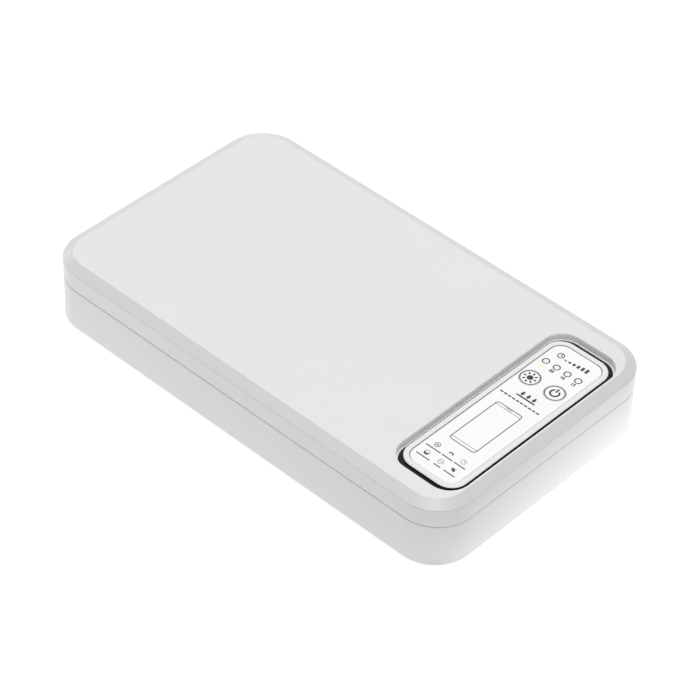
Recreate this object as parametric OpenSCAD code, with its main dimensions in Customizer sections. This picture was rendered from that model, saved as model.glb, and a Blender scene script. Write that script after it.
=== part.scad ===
// Flat lidded UV curing box for phones, with a control panel sunk into the lid.
// Millimetres. X runs along the box, Y from front to back, Z up from the table.

/* [Casing] */
// Length of the box
box_l = 250; // [246:1:264]
// Width of the box, front to back, without the hinge
box_w = 145; // [141:1:156]
// Radius of the upright corners
corner_r = 20.2; // [16:0.1:23]
// Height of the base casing
base_h = 23.8; // [22.5:0.1:30]
// Height of the lid
lid_h = 12.7; // [12.5:0.1:15]
// Wall of the casings
wall = 2.4; // [2:0.1:2.8]
// Floor of the base casing
floor_t = 2.2; // [1.8:0.1:2.6]
// Flat part of the lid cover
top_t = 2; // [1.6:0.1:2.4]
// Width of the sloping border round the top
border_w = 5.35; // [3.5:0.05:5.6]
// Drop of the sloping border
border_h = 2.65; // [2.2:0.05:3.2]
// Open line between lid and base
seam_gap = 0.4; // [0.3:0.1:0.6]
// Hairline between lid cover and lid frame
hairline = 0.15; // [0.1:0.05:0.3]
// Locating lip of the lid cover, its thickness
lip_t = 1.2; // [1:0.1:1.4]
// Locating lip, how far it reaches into the frame
lip_h = 2.4; // [1.5:0.1:3]
// Bevel along the bottom edge
bottom_bevel = 0.8; // [0.4:0.1:1.2]
// Clearance between pieces that drop into each other
fit_gap = 0.2; // [0.15:0.05:0.3]

/* [Deck and chamber] */
// Thickness of the deck
deck_t = 3; // [2.6:0.1:3.4]
// How far the deck lies below the base rim
deck_drop = 0.5; // [0.4:0.1:0.8]
// Length of the phone chamber
chamber_l = 182; // [174:1:183]
// Width of the phone chamber
chamber_w = 98; // [90:1:102]
// Depth of the phone chamber
chamber_d = 14; // [12:0.5:14.5]
// Corner radius of the chamber
chamber_r = 10; // [6:1:14]
// From the left end of the box to the chamber
chamber_margin = 15; // [14.5:0.1:15.5]
// Wall of the chamber
chamber_wall = 1.8; // [1.5:0.1:2.2]
// Width of the seal groove
groove_w = 4; // [3.5:0.1:4.5]
// Depth of the seal groove
groove_d = 1.5; // [1.2:0.1:1.8]
// Land between the chamber and the groove
groove_land = 3; // [2.5:0.1:3.5]
// Thickness of the reflecting bed plate
bed_t = 1; // [0.8:0.1:1.5]
// Thickness of the ribbed phone mat
mat_t = 2; // [1.5:0.1:2.5]
// Height of the ribs of the mat
mat_rib_h = 0.6; // [0.4:0.1:0.8]
// Spacing of the ribs of the mat
mat_pitch = 7; // [5:0.5:10]
// Gap between the seal and the lid when shut
seal_gap = 0.3; // [0.3:0.05:0.4]

/* [Control panel] */
// From the right end of the box to the middle of the panel
panel_inset = 25.5; // [25.5:0.1:26.5]
// Width of the well
well_w = 38.4; // [38:0.1:38.6]
// Length of the well
well_l = 118; // [115:0.5:120]
// Depth of the well
well_d = 4; // [3.8:0.1:4.2]
// Corner radius of the well
well_r = 11; // [8:0.5:13]
// Wall of the well
well_wall = 1.6; // [1.4:0.1:1.8]
// Floor of the well
well_floor = 1.5; // [1.3:0.1:1.7]
// Width of the control bezel
bezel_w = 33.8; // [33:0.1:35]
// Length of the control bezel
bezel_l = 110.5; // [109:0.5:112]
// Corner radius of the bezel
bezel_r = 8.8; // [6.5:0.1:10]
// How far the bezel lies below the top
bezel_drop = 1.5; // [1.3:0.1:1.7]
// Width of the bezel's raised rim
bezel_rim = 2.6; // [2.2:0.1:3]
// How far the overlay lies below the rim
overlay_drop = 0.5; // [0.4:0.05:0.6]
// Thickness of the black foam under the bezel
foam_t = 0.5; // [0.3:0.05:0.6]
// Bare floor of the well round the foam
foam_bare = 1; // [0.5:0.1:1.2]
// Thickness of the printed overlay
overlay_t = 0.4; // [0.3:0.05:0.5]
// Skin of the bezel under the overlay
bezel_skin = 1; // [0.9:0.05:1.1]
// Sideways offset of the buttons and lamps from the panel's middle line
print_dx = -0.65; // [-1:0.05:0]
// Radius of a button cap
button_r = 5.05; // [4:0.05:5.5]
// Gap round a button cap
button_gap = 0.25; // [0.2:0.05:0.35]
// Distance between the two buttons
button_pitch = 14.6; // [14:0.1:15]
// Place of the buttons along the panel
button_y = 24.5; // [20:0.5:28]
// Travel of a button
button_travel = 0.5; // [0.3:0.05:0.5]
// Radius of an indicator lens
lens_r = 1.4; // [1:0.05:1.6]
// Distance between the indicator lenses
lens_pitch = 6.35; // [5.5:0.05:6.6]
// Place of the indicator lenses along the panel
lens_y = 38.2; // [36:0.1:40]

/* [Lamps and membrane] */
// Width of the liner's window frame seen inside the chamber's outline
window_lip = 3; // [2:0.5:5]
// Thickness of the clear membrane
membrane_t = 0.8; // [0.5:0.1:1]
// Thickness of the membrane's clamp frame
clamp_t = 1.5; // [1.2:0.1:1.6]
// Thickness of the lid liner
liner_t = 2; // [1.6:0.1:2.2]
// Thickness of the lamp window
window_t = 1.5; // [1.2:0.1:2]
// Width of a lamp strip
strip_w = 14; // [10:1:18]
// Thickness of a lamp strip
strip_t = 1.4; // [1:0.1:1.6]
// Lamps on one strip
lamp_n = 9; // [6:1:12]
// Side of a lamp
lamp_s = 3.5; // [2.8:0.1:5]
// Height of a lamp
lamp_h = 0.8; // [0.6:0.1:1]

/* [Hinge] */
// Radius of the hinge barrels
knuckle_r = 3.2; // [2.8:0.1:3.4]
// Length of the barrel on the lid
lid_knuckle_l = 14; // [10:1:18]
// Length of each of the two barrels on the base
base_knuckle_l = 9; // [7:1:12]
// Gap between barrels
knuckle_gap = 0.4; // [0.3:0.05:0.6]
// Radius of the hinge pin
pin_r = 1.25; // [1:0.05:1.5]
// Clearance round the pin
pin_gap = 0.05; // [0.03:0.01:0.08]
// From the middle of the box to each hinge
hinge_x = 66; // [60:1:70]
// From the middle of the box to the cable passage in the hinge line
duct_x = 24; // [10:1:28]
// Length of each barrel of the cable passage
duct_l = 9; // [7:1:11]
// Radius of the cable to the lid
lead_r = 0.9; // [0.6:0.05:1]

/* [Feet and screws] */
// How far the feet stand out below
foot_h = 1.5; // [1:0.1:2.5]
// Radius of a foot
foot_r = 7; // [5:0.5:8]
// Depth of a foot's pocket in the casing
foot_pocket = 1; // [0.6:0.1:1.2]
// From the box's ends to the feet
foot_inset = 22; // [19:1:26]
// Radius of the casing screws
screw_r = 1.45; // [1.2:0.05:1.6]
// Radius of the casing screw heads
screw_head_r = 2.7; // [2.4:0.1:3]
// Height of the casing screw heads
screw_head_h = 1.8; // [1.5:0.1:2]
// Radius of the screw posts
post_r = 4.2; // [3.9:0.1:4.4]

/* [Pump and electrics] */
// Radius of the pump motor
motor_r = 7; // [6:0.25:7.25]
// Length of the pump motor
motor_l = 24; // [20:1:28]
// Side of the pump head
pump_s = 15; // [13:0.5:15.5]
// Length of the pump head
pump_l = 15; // [13:1:17]
// Inner radius of the air hoses
hose_r = 1.5; // [1.2:0.1:1.7]
// Wall of the air hoses
hose_wall = 1; // [0.8:0.1:1.2]
// Bend radius of the vacuum hose
hose_bend = 10; // [8:0.5:11]
// Radius of the power socket's round mouth
socket_r = 4; // [3.6:0.1:4.2]
// Radius of the plug hole in the power socket
socket_bore_r = 2.85; // [2.7:0.05:3]
// Thickness of the circuit boards
board_t = 1.6; // [1.2:0.1:1.6]

/* [Hidden] */
$fn = 64;
eps = 0.01;

// The hinge axis lies just behind the back face, and the box sits forward by half the overhang.
hinge_out = 0.3;
hinge_proud = hinge_out + knuckle_r;

// Levels
z_seam = foot_h + base_h;
z_top = z_seam + lid_h;
base_rim = z_seam - seam_gap / 2;
lid_rim = z_seam + seam_gap / 2;
cover_z = z_top - border_h;
ceiling = z_top - top_t;
floor_z = foot_h + floor_t;
deck_top = base_rim - deck_drop;
deck_bot = deck_top - deck_t;
bed_z = deck_top - chamber_d;
tub_z = bed_z - chamber_wall;
mat_z = bed_z + bed_t;

// Inside outline of the casings
in_l = box_l - 2 * wall;
in_w = box_w - 2 * wall;
in_r = corner_r - wall;
lip_in = wall + fit_gap + lip_t;

// Chamber
chamber_x = -box_l / 2 + chamber_margin + chamber_l / 2;
chamber_end = chamber_x + chamber_l / 2 + chamber_wall;
rib_x = [for (s = [-1, 0, 1]) chamber_x + s * chamber_l / 3];
rib_t = 2;
rib_short = 12;
rib_l = chamber_w - 2 * rib_short;
mat_rib_w = 1.4;
mat_edge = 6;

// Seal and membrane clamp
groove_out = groove_land + groove_w;
groove_z = deck_top - groove_d;
seal_bead_w = 1.6;
clamp_air = 0.6;
clamp_z = lid_rim + clamp_air;
seal_top = clamp_z - seal_gap;
clamp_in = 1.5;
clamp_lap = 1.5;
clamp_out = groove_out + clamp_lap;
membrane_z = clamp_z + clamp_t;
membrane_inset = 0.5;
membrane_out = clamp_out - membrane_inset;
lug_r = 3.2;
lug_reach = 1.2;
lug_y = chamber_w / 2 + clamp_out + lug_reach;
boss_r = 2.8;
lug_places = [
    for (x = [chamber_x - chamber_l / 3, chamber_x, chamber_x + chamber_l / 3], s = [-1, 1])
        [x, s * lug_y]
];
clamp_screw_r = 1;
clamp_head_r = 1.9;
clamp_head_h = 0.8;
clamp_sink = 0.9;
clamp_seat = clamp_z + clamp_sink;
clamp_screw_l = 6;
screw_tip = 0.3;

// Liner and lamp window
liner_z = membrane_z + membrane_t;
window_z = liner_z + liner_t;
window_seat = 2.5;
liner_step_t = 1.4;
liner_step_gap = 1.3;
plate_air = 1.1;
cover_plate_z = lid_rim + plate_air;
cover_plate_t = 1.4;
strip_inset = 8;
strip_l = chamber_l - 2 * strip_inset;
strip_pitch = chamber_w / 3;
strip_z = ceiling - strip_t;
lamp_pitch = strip_l / lamp_n;

// Panel
panel_x = box_l / 2 - panel_inset;
well_z = z_top - well_d;
well_bottom = well_z - well_floor;
bezel_z = well_z + foam_t;
bezel_top = z_top - bezel_drop;
bezel_bevel = 0.4;
recess_w = bezel_w - 2 * bezel_rim;
recess_l = bezel_l - 2 * bezel_rim;
recess_r = bezel_r - bezel_rim;
overlay_top = bezel_top - overlay_drop;
overlay_z = overlay_top - overlay_t;
overlay_gap = 0.1;
skin_z = overlay_z - bezel_skin;
opening_in = 0.1;
opening_w = recess_w - 2 * opening_in;
opening_l = 92;
opening_r = 5;
button_x = [
    panel_x + print_dx - button_pitch / 2,
    panel_x + print_dx + button_pitch / 2
];
button_proud = 0.1;
flange_t = 0.5;
flange_gap = 0.2;
flange_lap = 0.8;
flange_r = button_r + flange_lap;
flange_z = skin_z - flange_gap - flange_t;

// Control board, its switches and lamps
board_air = 1.2;
board_top = well_bottom - board_air;
board_z = board_top - board_t;
board_w = 28;
board_l = 104;
board_post_in = 3;
board_post_end = 2.5;
board_post = [board_w / 2 - board_post_in, board_l / 2 - board_post_end];
board_post_r = 2.2;
liner_step_x = panel_x - board_w / 2 - liner_step_gap;
board_screw_r = 0.8;
board_head_r = 1.5;
board_head_h = 0.9;
board_screw_short = 0.5;
board_screw_l = board_t + board_air + well_floor - board_screw_short;
switch_s = 6;
switch_h = 1.7;
switch_air = 0.1;
plunger_r = 1.75;
plunger_gap = 0.08;
switch_floor = 0.3;
plunger_end_gap = 0.05;
plunger_z = board_top + switch_floor + button_travel + plunger_end_gap;
led_s = 1.6;
led_h = 0.8;
lens_x = [for (k = [-1.5, -0.5, 0.5, 1.5]) panel_x + print_dx + k * lens_pitch];
lens_gap = 0.05;
lens_lap = 0.45;
lens_flange_r = lens_r + lens_lap;
lens_flange_t = 0.6;
lens_air = 0.3;
lens_z = board_top + led_h + lens_air;

// Feet, posts and screws
foot_x = box_l / 2 - foot_inset;
foot_y = box_w / 2 - foot_inset;
foot_bevel = 0.5;
post_wall_gap = 3.8;
post_inset = 26;
mid_post_x = -6;
end_post_gap = 5.2;
end_post_inset = 24;
post_y = in_w / 2 - post_r - post_wall_gap;
end_post_x = in_l / 2 - post_r - end_post_gap;
base_posts = [
    for (s = [-1, 1]) each [
        [-box_l / 2 + post_inset, s * post_y],
        [mid_post_x, s * post_y],
        [end_post_x, s * (in_w / 2 - end_post_inset)]
    ]
];
post_h = 10.3;
post_join = floor_z + post_h;
screw_sink = 8;
screw_seat = foot_h + screw_sink;
base_screw_l = deck_bot - screw_seat - screw_tip;
pilot_gap = 0.05;
lid_post_r = 3.2;
lid_post_gap = 0.9;
lid_post_inset = 27;
lid_post_y = in_w / 2 - lip_t - lid_post_r - lid_post_gap;
lid_posts = [
    for (x = [-box_l / 2 + lid_post_inset, 0, box_l / 2 - lid_post_inset], s = [-1, 1])
        [x, s * lid_post_y]
];
lid_post_air = 2.5;
lid_post_h = 3.2;
lid_post_z = lid_rim + lid_post_air;
lid_post_join = lid_post_z + lid_post_h;
lid_screw_short = 1.5;
lid_screw_l = ceiling - lid_post_z - lid_screw_short;
lid_web_w = 4;
magnet_r = 4;
magnet_t = 2;
magnet_wall = 1.2;
magnet_gap = 1.4;
magnet_inset = 65;
magnet_x = box_l / 2 - magnet_inset;
magnet_y = -(in_w / 2 - magnet_r - magnet_wall - magnet_gap);
deck_magnet_z = deck_bot;
lid_magnet_skin = 0.6;
lid_magnet_air = 1;
lid_magnet_z = lid_rim + lid_magnet_air;
sensor_l = 14;
sensor_r = 1.2;
sensor_gap = 3;
sensor_x = magnet_x - magnet_r - sensor_gap - sensor_l / 2;

// Hinge
axis_y = box_w / 2 + hinge_out;
web_root = 2;
web_short = 0.3;
web_reach = hinge_proud - web_short;
web_drop = 3.3;
web_h = knuckle_r + web_drop;
notch_gap = 0.4;
pin_inset = 0.5;
press_gap = 0.02;
hinge_half = lid_knuckle_l / 2 + knuckle_gap + base_knuckle_l;
duct_base_x = duct_x + (knuckle_gap + duct_l) / 2;
duct_lid_x = duct_x - (knuckle_gap + duct_l) / 2;
base_barrels = concat(
    [
        for (s = [-1, 1], e = [-1, 1])
            [s * hinge_x + e * (hinge_half - base_knuckle_l / 2), base_knuckle_l]
    ],
    [[duct_base_x, duct_l]]
);
lid_barrels = [
    [-hinge_x, lid_knuckle_l], [hinge_x, lid_knuckle_l], [duct_lid_x, duct_l]
];

// Vacuum line
port_rise = 12.5;
port_z = floor_z + port_rise;
port_l = 6;
port_bore_r = 0.8;
nipple_l = 5;
nipple_r = hose_r - 0.05;
hose_o = hose_r + hose_wall;
hose_end_gap = 0.3;
pump_inset = 28;
pump_room = 13;
pump_x = box_l / 2 - pump_inset;
pump_front = -(in_w / 2 - pump_room);
boss_l = 1.5;
cradle_t = 1.2;
pump_z = floor_z + cradle_t + pump_s / 2;
head_y = pump_front + motor_l;
nipple_y = head_y + pump_l;
nipple_off = 3.5;
nipple_x = pump_x - nipple_off;
hose_straight = 9;
port_y = nipple_y + hose_straight + hose_bend;
shaft_r = 1;
shaft_gap = 0.05;
shaft_in = 6;
crank_r = 3.9;
crank_off = 1.2;
crank_l = 5;
crank_gap = 0.5;
crank_start = 1.5;
crank_tail = 1.5;
crank_room_r = crank_r + crank_off + crank_gap;
crank_room_l = 10;
cradle_side = 3;
cradle_w = 2 * (motor_r + cradle_side);
saddle_t = 4;

// Main board and power socket
main_inset = 45.2;
main_w = 28;
main_l = 32;
main_back = 2;
main_air = 3;
main_x = box_l / 2 - main_inset;
main_y = in_w / 2 - main_back - main_l;
main_z = floor_z + main_air;
main_top = main_z + board_t;
main_post_r = 2.4;
main_post_in = 3.5;
main_screw_short = 0.4;
main_posts = [
    for (x = [main_x + main_post_in, main_x + main_w - main_post_in],
         y = [main_y + main_post_in, main_y + main_l - main_post_in]) [x, y]
];
socket_x = main_x + main_w / 2;
socket_w = 10;
socket_l = 13;
socket_h = 11;
socket_z = main_top + socket_h / 2;
socket_depth = 9;
socket_pin_r = 0.95;
socket_stick = 0.8;
buzzer_r = 3.6;
buzzer_h = 4;
buzzer_x = main_x + buzzer_r + 2 * main_post_r;
buzzer_y = main_y + 2 * buzzer_r;
chip_s = 7;
chip_t = 1.2;
coil_s = 5;
coil_t = 3;
cap_r = 2.6;
cap_h = 9;
plug = [4, 8, 4];
plug_in = 1;
plug_back = 9.6;
plug_y = main_y + main_l - plug_back;

// Vent valve between the pump and the main board
valve_s = 11;
valve_l = 20;
valve_off = 20;
valve_gap = 2.1;
valve_drop = 0.8;
valve_foot = 2;
valve_x = chamber_end + valve_off;
valve_y = main_y - valve_gap - valve_l / 2;
valve_z = port_z - valve_s / 2 - valve_drop;

// Cable through the hinge line, and the motor's cable
lead_room = 0.3;
lead_bore_out = 2;
lead_end_gap = 0.1;
lead_turn = 2.2;
lead_run = 2.6;
lead_end = 3;
lead_side = 8;
lead_lift = 4;
lead_bend = 6;
base_lead = [
    [duct_x + lead_end_gap, axis_y, z_seam],
    [duct_base_x, axis_y, z_seam],
    [duct_base_x, in_w / 2 - lead_turn, deck_bot],
    [duct_base_x, in_w / 2 - lead_run, main_top + lead_lift],
    [main_x - lead_side, in_w / 2 - lead_run, main_z + board_t / 2],
    [main_x - lead_end, plug_y, main_z + board_t / 2],
    [main_x - lead_end_gap, plug_y, main_z + board_t / 2]
];
lid_lead_z = window_z + lead_r + fit_gap;
lid_lead = [
    [duct_x - lead_end_gap, axis_y, z_seam],
    [duct_lid_x, axis_y, z_seam],
    [duct_lid_x, in_w / 2 - lead_turn, liner_z],
    [duct_lid_x, in_w / 2 - lead_run, lid_lead_z],
    [panel_x - board_w / 2 - lead_turn, in_w / 2 - lead_run, lid_lead_z],
    [panel_x - board_w / 2 + lead_lift, board_l / 2 + lead_bend, board_z + board_t / 2],
    [panel_x - board_w / 2 + lead_lift, board_l / 2 + lead_end_gap, board_z + board_t / 2]
];
motor_lead_r = 0.7;
motor_lead_out = 4.5;
motor_lead_bend = 2.5;
motor_lead_rise = 1.7;
motor_lead = [
    [pump_x, pump_front - boss_l - lead_end_gap, pump_z],
    [pump_x, pump_front - motor_lead_out, pump_z],
    [pump_x - 2 * motor_r, pump_front - motor_lead_bend, floor_z + motor_lead_rise],
    [chamber_end + motor_lead_out, pump_front + lead_side, floor_z + motor_lead_rise],
    [chamber_end + motor_lead_out, main_y - motor_lead_out, floor_z + motor_lead_rise],
    [main_x + lead_side, main_y - lead_end, main_z + board_t / 2],
    [main_x + lead_side, main_y - lead_end_gap, main_z + board_t / 2]
];

// Everything is drawn round the middle of the box and moved forward by half the overhang.
module in_box() {
    translate([0, -hinge_proud / 2, 0]) children();
}

// Plate with round corners, from height z to z + h
module slab(l, w, r, z, h) {
    translate([0, 0, z]) linear_extrude(h) {
        square([l - 2 * r, w], center = true);
        square([l, w - 2 * r], center = true);
        for (x = [-1, 1], y = [-1, 1])
            translate([x * (l / 2 - r), y * (w / 2 - r)]) circle(r);
    }
}

// Closed band with round corners, measured over its outside
module band(l, w, r, t, z, h) {
    difference() {
        slab(l, w, r, z, h);
        slab(l - 2 * t, w - 2 * t, r - t, z - 1, h + 2);
    }
}

// Slab that draws in by d over its height h
module sloped_slab(l, w, r, d, z, h) {
    translate([0, 0, z]) {
        rotate([90, 0, 90]) translate([0, 0, -(l / 2 - r)]) linear_extrude(l - 2 * r)
            polygon([[-w / 2, 0], [w / 2, 0], [w / 2 - d, h], [-w / 2 + d, h]]);
        rotate([90, 0, 0]) translate([0, 0, -(w / 2 - r)]) linear_extrude(w - 2 * r)
            polygon([[-l / 2, 0], [l / 2, 0], [l / 2 - d, h], [-l / 2 + d, h]]);
        for (x = [-1, 1], y = [-1, 1])
            translate([x * (l / 2 - r), y * (w / 2 - r), 0])
                cylinder(h = h, r1 = r, r2 = r - d);
    }
}

// Plate or band that follows the chamber's outline, grown by out on every side
module chamber_slab(out, z, h) {
    translate([chamber_x, 0, 0])
        slab(chamber_l + 2 * out, chamber_w + 2 * out, chamber_r + out, z, h);
}

module chamber_band(out, t, z, h) {
    translate([chamber_x, 0, 0])
        band(chamber_l + 2 * out, chamber_w + 2 * out, chamber_r + out, t, z, h);
}

module rod(x, y, z, h, r) {
    translate([x, y, z]) cylinder(h = h, r = r);
}

// Rods that point along X and along Y
module rod_x(x, y, z, l, r) {
    translate([x, y, z]) rotate([0, 90, 0]) cylinder(h = l, r = r);
}

module rod_y(x, y, z, l, r) {
    translate([x, y, z]) rotate([-90, 0, 0]) cylinder(h = l, r = r);
}

// Block centred on x and y, standing on z
module brick(x, y, z, size) {
    translate([x - size[0] / 2, y - size[1] / 2, z]) cube(size);
}

// Screw whose head sits under height z and whose shank points up
module screw_up(x, y, z, l, r, head_r, head_h) {
    difference() {
        union() {
            rod(x, y, z - head_h, head_h, head_r);
            rod(x, y, z - eps, l, r);
        }
        for (a = [0, 90])
            translate([x, y, z - head_h]) rotate(a)
                cube([head_r * 1.3, head_r * 0.28, head_h], center = true);
    }
}

function unit(v) = v / norm(v);

// Cable frames: u turns with the route without twisting about it
function turned(u, a, b) =
    let (n = a + b, w = u - a * (u * n) / (a * n)) w - b * (w * b);
function frames(d, u, i = 0) =
    i == len(d) - 1 ? [u] : concat([u], frames(d, turned(u, d[i], d[i + 1]), i + 1));
function across(d) = unit(cross(d, abs(d[2]) < 0.7 ? [0, 0, 1] : [1, 0, 0]));

// Round cable along a list of points, mitred at each bend
module wire(points, r, sides = 10) {
    last = len(points) - 1;
    d = [for (i = [0 : last - 1]) unit(points[i + 1] - points[i])];
    u = frames(d, across(d[0]));
    rings = [
        for (i = [0 : last]) let (
            run = d[max(i - 1, 0)],
            side = u[max(i - 1, 0)],
            n = i == 0 || i == last ? run : run + d[i]
        ) for (k = [0 : sides - 1]) let (
            a = 360 * k / sides,
            q = r * (cos(a) * side + sin(a) * cross(run, side))
        ) points[i] + q - run * (q * n) / (run * n)
    ];
    walls = [
        for (i = [0 : last - 1], k = [0 : sides - 1]) let (
            a = i * sides + k, b = i * sides + (k + 1) % sides
        ) each [[a, a + sides, b], [b, a + sides, b + sides]]
    ];
    caps = [
        [for (k = [0 : sides - 1]) k],
        [for (k = [sides - 1 : -1 : 0]) last * sides + k]
    ];
    polyhedron(rings, concat(walls, caps));
}

// Round hole from point a to point b
module tunnel(a, b, r) {
    run = b - a;
    translate(a) rotate([0, acos(run[2] / norm(run)), atan2(run[1], run[0])])
        cylinder(h = norm(run), r = r);
}

// Hinge barrel with the web that joins it to a casing; way is -1 for the base, 1 for the lid
module knuckles(barrels, way) {
    for (b = barrels) {
        rod_x(b[0] - b[1] / 2, axis_y, z_seam, b[1], knuckle_r);
        translate([b[0] - b[1] / 2, box_w / 2, z_seam]) rotate([90, 0, 90])
            linear_extrude(b[1])
                polygon([
                    [-web_root, 0], [web_reach, 0],
                    [web_reach, way * (web_h - web_reach)],
                    [0, way * web_h], [-web_root, way * web_h]
                ]);
    }
}

// Room that the barrels of the other casing need
module knuckle_room(barrels, gap) {
    for (b = barrels)
        rod_x(b[0] - b[1] / 2 - gap, axis_y, z_seam, b[1] + 2 * gap, knuckle_r + gap);
}

// Bores for the hinge pins, wider by gap than the pin
module pin_bores(gap) {
    for (s = [-1, 1])
        rod_x(s * hinge_x - hinge_half - 1, axis_y, z_seam, 2 * hinge_half + 2, pin_r + gap);
}

module base_shell() {
    color("gainsboro") in_box() difference() {
        union() {
            difference() {
                union() {
                    slab(box_l, box_w, corner_r, foot_h + bottom_bevel,
                        base_rim - foot_h - bottom_bevel);
                    translate([0, 0, foot_h + bottom_bevel]) mirror([0, 0, 1])
                        sloped_slab(box_l, box_w, corner_r, bottom_bevel, 0, bottom_bevel);
                }
                slab(in_l, in_w, in_r, floor_z, base_h);
                knuckle_room(lid_barrels, notch_gap);
            }
            for (p = base_posts)
                rod(p[0], p[1], floor_z - 1, post_join - floor_z + 1, post_r);
            for (p = main_posts)
                rod(p[0], p[1], floor_z - 1, main_z - floor_z + 1, main_post_r);
            for (x = rib_x) brick(x, 0, floor_z - 1, [rib_t, rib_l, tub_z - floor_z + 1]);
            brick(valve_x, valve_y, floor_z - 1,
                [valve_s, valve_l - 2 * valve_foot, valve_z - floor_z + 1]);
            knuckles(base_barrels, -1);
        }
        for (p = base_posts) {
            rod(p[0], p[1], foot_h - 1, screw_seat - foot_h + 1, screw_head_r + fit_gap);
            rod(p[0], p[1], screw_seat - 1, base_h, screw_r + fit_gap);
        }
        for (p = main_posts)
            rod(p[0], p[1], floor_z, base_h, board_screw_r + pilot_gap);
        for (x = [-1, 1], y = [-1, 1])
            rod(x * foot_x, y * foot_y, foot_h - 1, foot_pocket + 1, foot_r + fit_gap / 2);
        rod_y(socket_x, in_w / 2 - 1, socket_z, wall + 2, socket_r + fit_gap);
        pin_bores(press_gap);
        tunnel(base_lead[0] - [lead_bore_out, 0, 0], base_lead[1] + [lead_r + lead_room / 2, 0, 0],
            lead_r + lead_room);
        tunnel(base_lead[1], base_lead[2], lead_r + lead_room);
    }
}

module chamber_deck() {
    color("white") in_box() difference() {
        union() {
            slab(in_l - 2 * fit_gap, in_w - 2 * fit_gap, in_r - fit_gap, deck_bot, deck_t);
            chamber_slab(chamber_wall, tub_z, deck_bot - tub_z + 1);
            for (p = base_posts)
                rod(p[0], p[1], post_join, deck_bot - post_join + 1, post_r);
            for (y = [port_y, valve_y])
                rod_x(chamber_end - 1, y, port_z, port_l + 1, nipple_r);
        }
        chamber_slab(0, bed_z, chamber_d + 1);
        chamber_band(groove_out, groove_w, groove_z, groove_d + 1);
        for (p = base_posts)
            rod(p[0], p[1], post_join - 1, deck_bot - post_join + 1, screw_r + pilot_gap);
        for (y = [port_y, valve_y])
            rod_x(chamber_end - chamber_wall - 1, y, port_z, port_l + chamber_wall + 2,
                port_bore_r);
        for (s = [-1, 1])
            rod(s * magnet_x, magnet_y, deck_magnet_z - 1, magnet_t + 1,
                magnet_r + pilot_gap);
        knuckle_room(lid_barrels, notch_gap);
        knuckle_room(base_barrels, fit_gap);
        brick(duct_base_x, in_w / 2, deck_bot - 1,
            [2 * lead_r + 2, 2 * (lead_run + lead_r + lead_room), deck_t + 2]);
    }
}

module bed_plate() {
    color("silver") in_box() chamber_slab(-fit_gap, bed_z, bed_t);
}

module phone_mat() {
    color("lightgray") in_box() {
        chamber_slab(-fit_gap, mat_z, mat_t);
        span = chamber_l - 2 * chamber_r;
        n = floor(span / mat_pitch);
        for (k = [0 : n])
            brick(chamber_x + (k - n / 2) * mat_pitch, 0, mat_z + mat_t - 0.1,
                [mat_rib_w, chamber_w - 2 * mat_edge, mat_rib_h + 0.1]);
    }
}

module chamber_seal() {
    color("dimgray") in_box() {
        chamber_band(groove_out - fit_gap, groove_w - 2 * fit_gap, groove_z,
            deck_top - groove_z);
        chamber_band(groove_out - (groove_w - seal_bead_w) / 2, seal_bead_w,
            groove_z, seal_top - groove_z);
    }
}

module foot(sx, sy) {
    color("dimgray") in_box() {
        translate([sx * foot_x, sy * foot_y, 0])
            cylinder(h = foot_bevel, r1 = foot_r - foot_bevel, r2 = foot_r);
        rod(sx * foot_x, sy * foot_y, foot_bevel, foot_h + foot_pocket - foot_bevel, foot_r);
    }
}

module foot_front_left() { foot(-1, -1); }
module foot_front_right() { foot(1, -1); }
module foot_rear_left() { foot(-1, 1); }
module foot_rear_right() { foot(1, 1); }

module base_screws() {
    color("slategray") in_box() for (p = base_posts)
        screw_up(p[0], p[1], screw_seat, base_screw_l, screw_r, screw_head_r, screw_head_h);
}

module base_magnets() {
    color("darkgray") in_box() for (s = [-1, 1])
        rod(s * magnet_x, magnet_y, deck_magnet_z, magnet_t, magnet_r);
}

module lid_sensor() {
    color("darkgreen") in_box()
        rod_x(sensor_x - sensor_l / 2, magnet_y, deck_bot - sensor_r, sensor_l, sensor_r);
}

module hinge_pin(s) {
    color("silver") in_box()
        rod_x(s * hinge_x - hinge_half + pin_inset, axis_y, z_seam,
            2 * (hinge_half - pin_inset), pin_r);
}

module hinge_pin_left() { hinge_pin(-1); }
module hinge_pin_right() { hinge_pin(1); }

module pump_cradle() {
    color("dimgray") in_box() difference() {
        union() {
            brick(pump_x, pump_front + (motor_l + pump_l) / 2, floor_z,
                [cradle_w, motor_l + pump_l, cradle_t]);
            for (y = [pump_front + saddle_t, head_y - saddle_t])
                brick(pump_x, y, floor_z, [cradle_w, saddle_t, pump_z - floor_z]);
        }
        rod_y(pump_x, pump_front - 1, pump_z, motor_l + 2, motor_r + pilot_gap);
    }
}

module pump_motor() {
    color("silver") in_box() difference() {
        union() {
            rod_y(pump_x, pump_front, pump_z, motor_l, motor_r);
            rod_y(pump_x, pump_front - boss_l, pump_z, boss_l + 1, motor_r * 0.4);
        }
        rod_y(pump_x, pump_front + shaft_in, pump_z, motor_l, shaft_r + shaft_gap);
    }
}

module pump_head() {
    color("ivory") in_box() difference() {
        union() {
            brick(pump_x, head_y + pump_l / 2, pump_z - pump_s / 2, [pump_s, pump_l, pump_s]);
            rod_y(nipple_x, nipple_y - 1, port_z, nipple_l + 1, nipple_r);
        }
        rod_y(pump_x, head_y - 1, pump_z, crank_room_l + 1, crank_room_r);
        rod_y(nipple_x, head_y + crank_room_l - 1, port_z, pump_l + nipple_l, port_bore_r);
    }
}

module pump_crank() {
    color("steelblue") in_box() {
        rod_y(pump_x, pump_front + shaft_in + crank_gap, pump_z,
            motor_l - shaft_in - crank_gap + crank_start + crank_l + crank_tail, shaft_r);
        rod_y(pump_x + crank_off, head_y + crank_start, pump_z, crank_l, crank_r);
    }
}

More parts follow.
